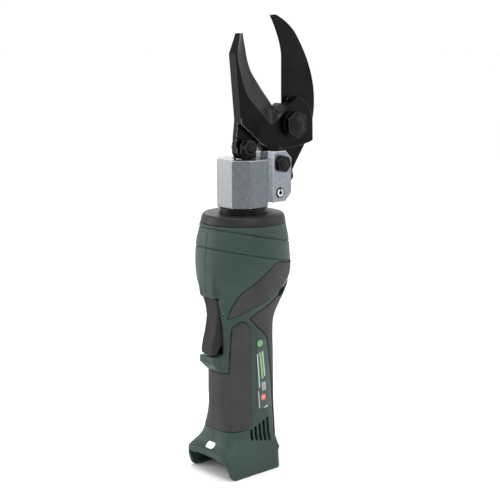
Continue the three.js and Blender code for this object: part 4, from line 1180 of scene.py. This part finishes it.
def fixed_jaw_field():
    inner = curve_through([(41.4, 280), (41.4, 293.5), (41.3, 312), (41.2, 331)], 3)
    hook = bent((41.2, 331), (40.3, 343), (29.5, 361.5), 10)
    edge = inner + hook + [(26.5, 366)]
    crest = ([(49.5, 280), (49.5, 293.5), (49.3, 331)]
             + bent((49.3, 331), (47, 347), (35.5, 362.6), 10) + [(33.5, 366)])
    outline = Polygon(
        inner[3:] + hook + bent((29.5, 361.5), (31.5, 363.7), (35, 363), 4)
        + bent((35, 363), (47, 358.4), (55.4, 349.6)) + bent((55.4, 349.6), (79, 319.5), (77.8, 291), 12)
        + bent((77.8, 291), (77.2, 273), (68, 259.9))
        + [(55, 241), (38.6, 241), (38.6, 258.2), (21, 258.2)]
        + bent((21, 258.2), (24, 284), (41.4, 293.5)))
    plate, zone = jaw_plate(outline, edge, crest, -1)
    neck_outline = Polygon([
        (20, 257), (22, 266), (50, 262), (55, 241), (50, 234), (41, 223.5), (34, 218.4), (20, 218.4)])
    pad_outline = Polygon([
        (20, 218.4), (20, 255.5), (33.5, 255.5), (36, 248.2), (47, 246), (50, 234), (41, 223.5),
        (34, 218.4)])

    def field(x, y, z):
        neck = both(neck_outline(y, z), x + SPLIT, -5 - x)
        pad = both(pad_outline(y, z), x - 5, -2 - x)
        holes = either(bar_field(y, z, PIVOT, PIVOT_HOLE),
                       bar_field(y, z, middle("clevis_bolt")[1:], CLEVIS_BOLT_HOLE),
                       bar_field(y, z, middle("clevis_pin")[1:], CLEVIS_PIN_HOLE))
        return both(either(plate(x, y, z), neck, pad), -holes)

    return field, zone, outline


def ram_field(x, y, z):
    rod = both(bar_field(x, y, (0, 0), 6.5), 201.3 - z, z - 254)
    side = Polygon([
        (-8.6, 257), (-6.4, 252.6), (6.4, 252.6), (6.4, 259), (1.4, 267.4), (-6.4, 267.4),
        (-8.6, 264.6)])
    left, right = -3.6, 8.6
    cheeks = round_both(side(y, z), np.abs(x - (left + right) / 2) - (right - left) / 2, 0.6)
    slot = block_field(x, y, z, (-0.3, -60, 252.5), (5.2, 60, 280), 0.2)
    pin = bar_field(y, z, middle("drive_bolt")[1:], 3.8)
    return both(either(rod, cheeks), -slot, -pin)


def mark_steel(jaw, zone, outline, side):
    """The ground face gets a lighter steel, and the lower rim of the flat side a bright one: a painted
    highlight along its chamfer.
    """
    jaw.data.materials.append(LOOKS["ground_steel"])
    jaw.data.materials.append(LOOKS["worn_edge"])
    faces = jaw.data.polygons
    centre = np.array([face.center[:] for face in faces]) / MM + (0, 0, SEAT)
    outward = np.array([face.normal.x for face in faces]) * side
    y, z = centre[:, 1], centre[:, 2]
    ground = (zone(y, z) < 0) & (outward > 0.15) & (outward < 0.985)
    rim = (outward > 0.2) & (outward < 0.97) & (outline(y, z) > -0.8) & ~ground
    # the lower rim, away from the hub, gets the painted highlight
    highlight_rim = rim & (z < 284) & (np.hypot(y - PIVOT[0], z - PIVOT[1]) > 21.5)
    index = np.where(highlight_rim, 2, np.where(ground, 1, 0))
    faces.foreach_set("material_index", index.astype(np.int32))


def mark_block(block):
    """The machined side faces of the two ears are paler than the blasted block between them, and their
    narrow front strips get a painted highlight.
    """
    block.data.materials.append(LOOKS["ear_side"])
    block.data.materials.append(LOOKS["ear_front"])
    steep = 0.9
    for face in block.data.polygons:
        x, y, z = face.center[0] / MM, face.center[1] / MM, face.center[2] / MM + SEAT
        on_strip = abs(x) > 8 and 18 < y < 19.2 and 216 < z < 258
        if abs(face.normal.x) > steep and abs(x) > EARS["half"] - 0.5 and y > 19:
            face.material_index = 1
        # the front strips facing -Y get the painted highlight
        elif face.normal.y < -steep and on_strip:
            face.material_index = 2


def add_head():
    mark_block(carve("head_block", head_field, 0.6))
    for name, (field, zone, outline), side in (
            ("moving_jaw", moving_jaw_field(), 1), ("fixed_jaw", fixed_jaw_field(), -1)):
        mark_steel(carve(name, field, 0.5), zone, outline, side)
    ram = carve("ram_rod", ram_field, 0.5)
    ram.data.materials.append(LOOKS["black_steel"])
    fork_bottom = (252.4 - SEAT) * MM
    for face in ram.data.polygons:
        if face.center.z > fork_bottom:
            face.material_index = 1


def soften_frame():
    """Small chamfers on the CAD nodes that stay in view."""
    for name in ("terminal_block", "contact_right", "contact_left", "trigger_pin", "rod_wiper",
                 "retaining_ring", "switch_button", "switch_body", "motor_can", "pump_block"):
        node = frame["nodes"][name]
        bevel = node.modifiers.new("edge", "BEVEL")
        bevel.width = 0.0003
        bevel.segments = 2
        bevel.limit_method = "ANGLE"
        bevel.angle_limit = math.radians(40)


def main():
    add_camera()
    add_studio()
    dress_frame()
    add_housing()
    add_housing_details()
    carve("trigger", trigger_field, 0.5)
    add_head()
    add_fasteners()
    soften_frame()


main()
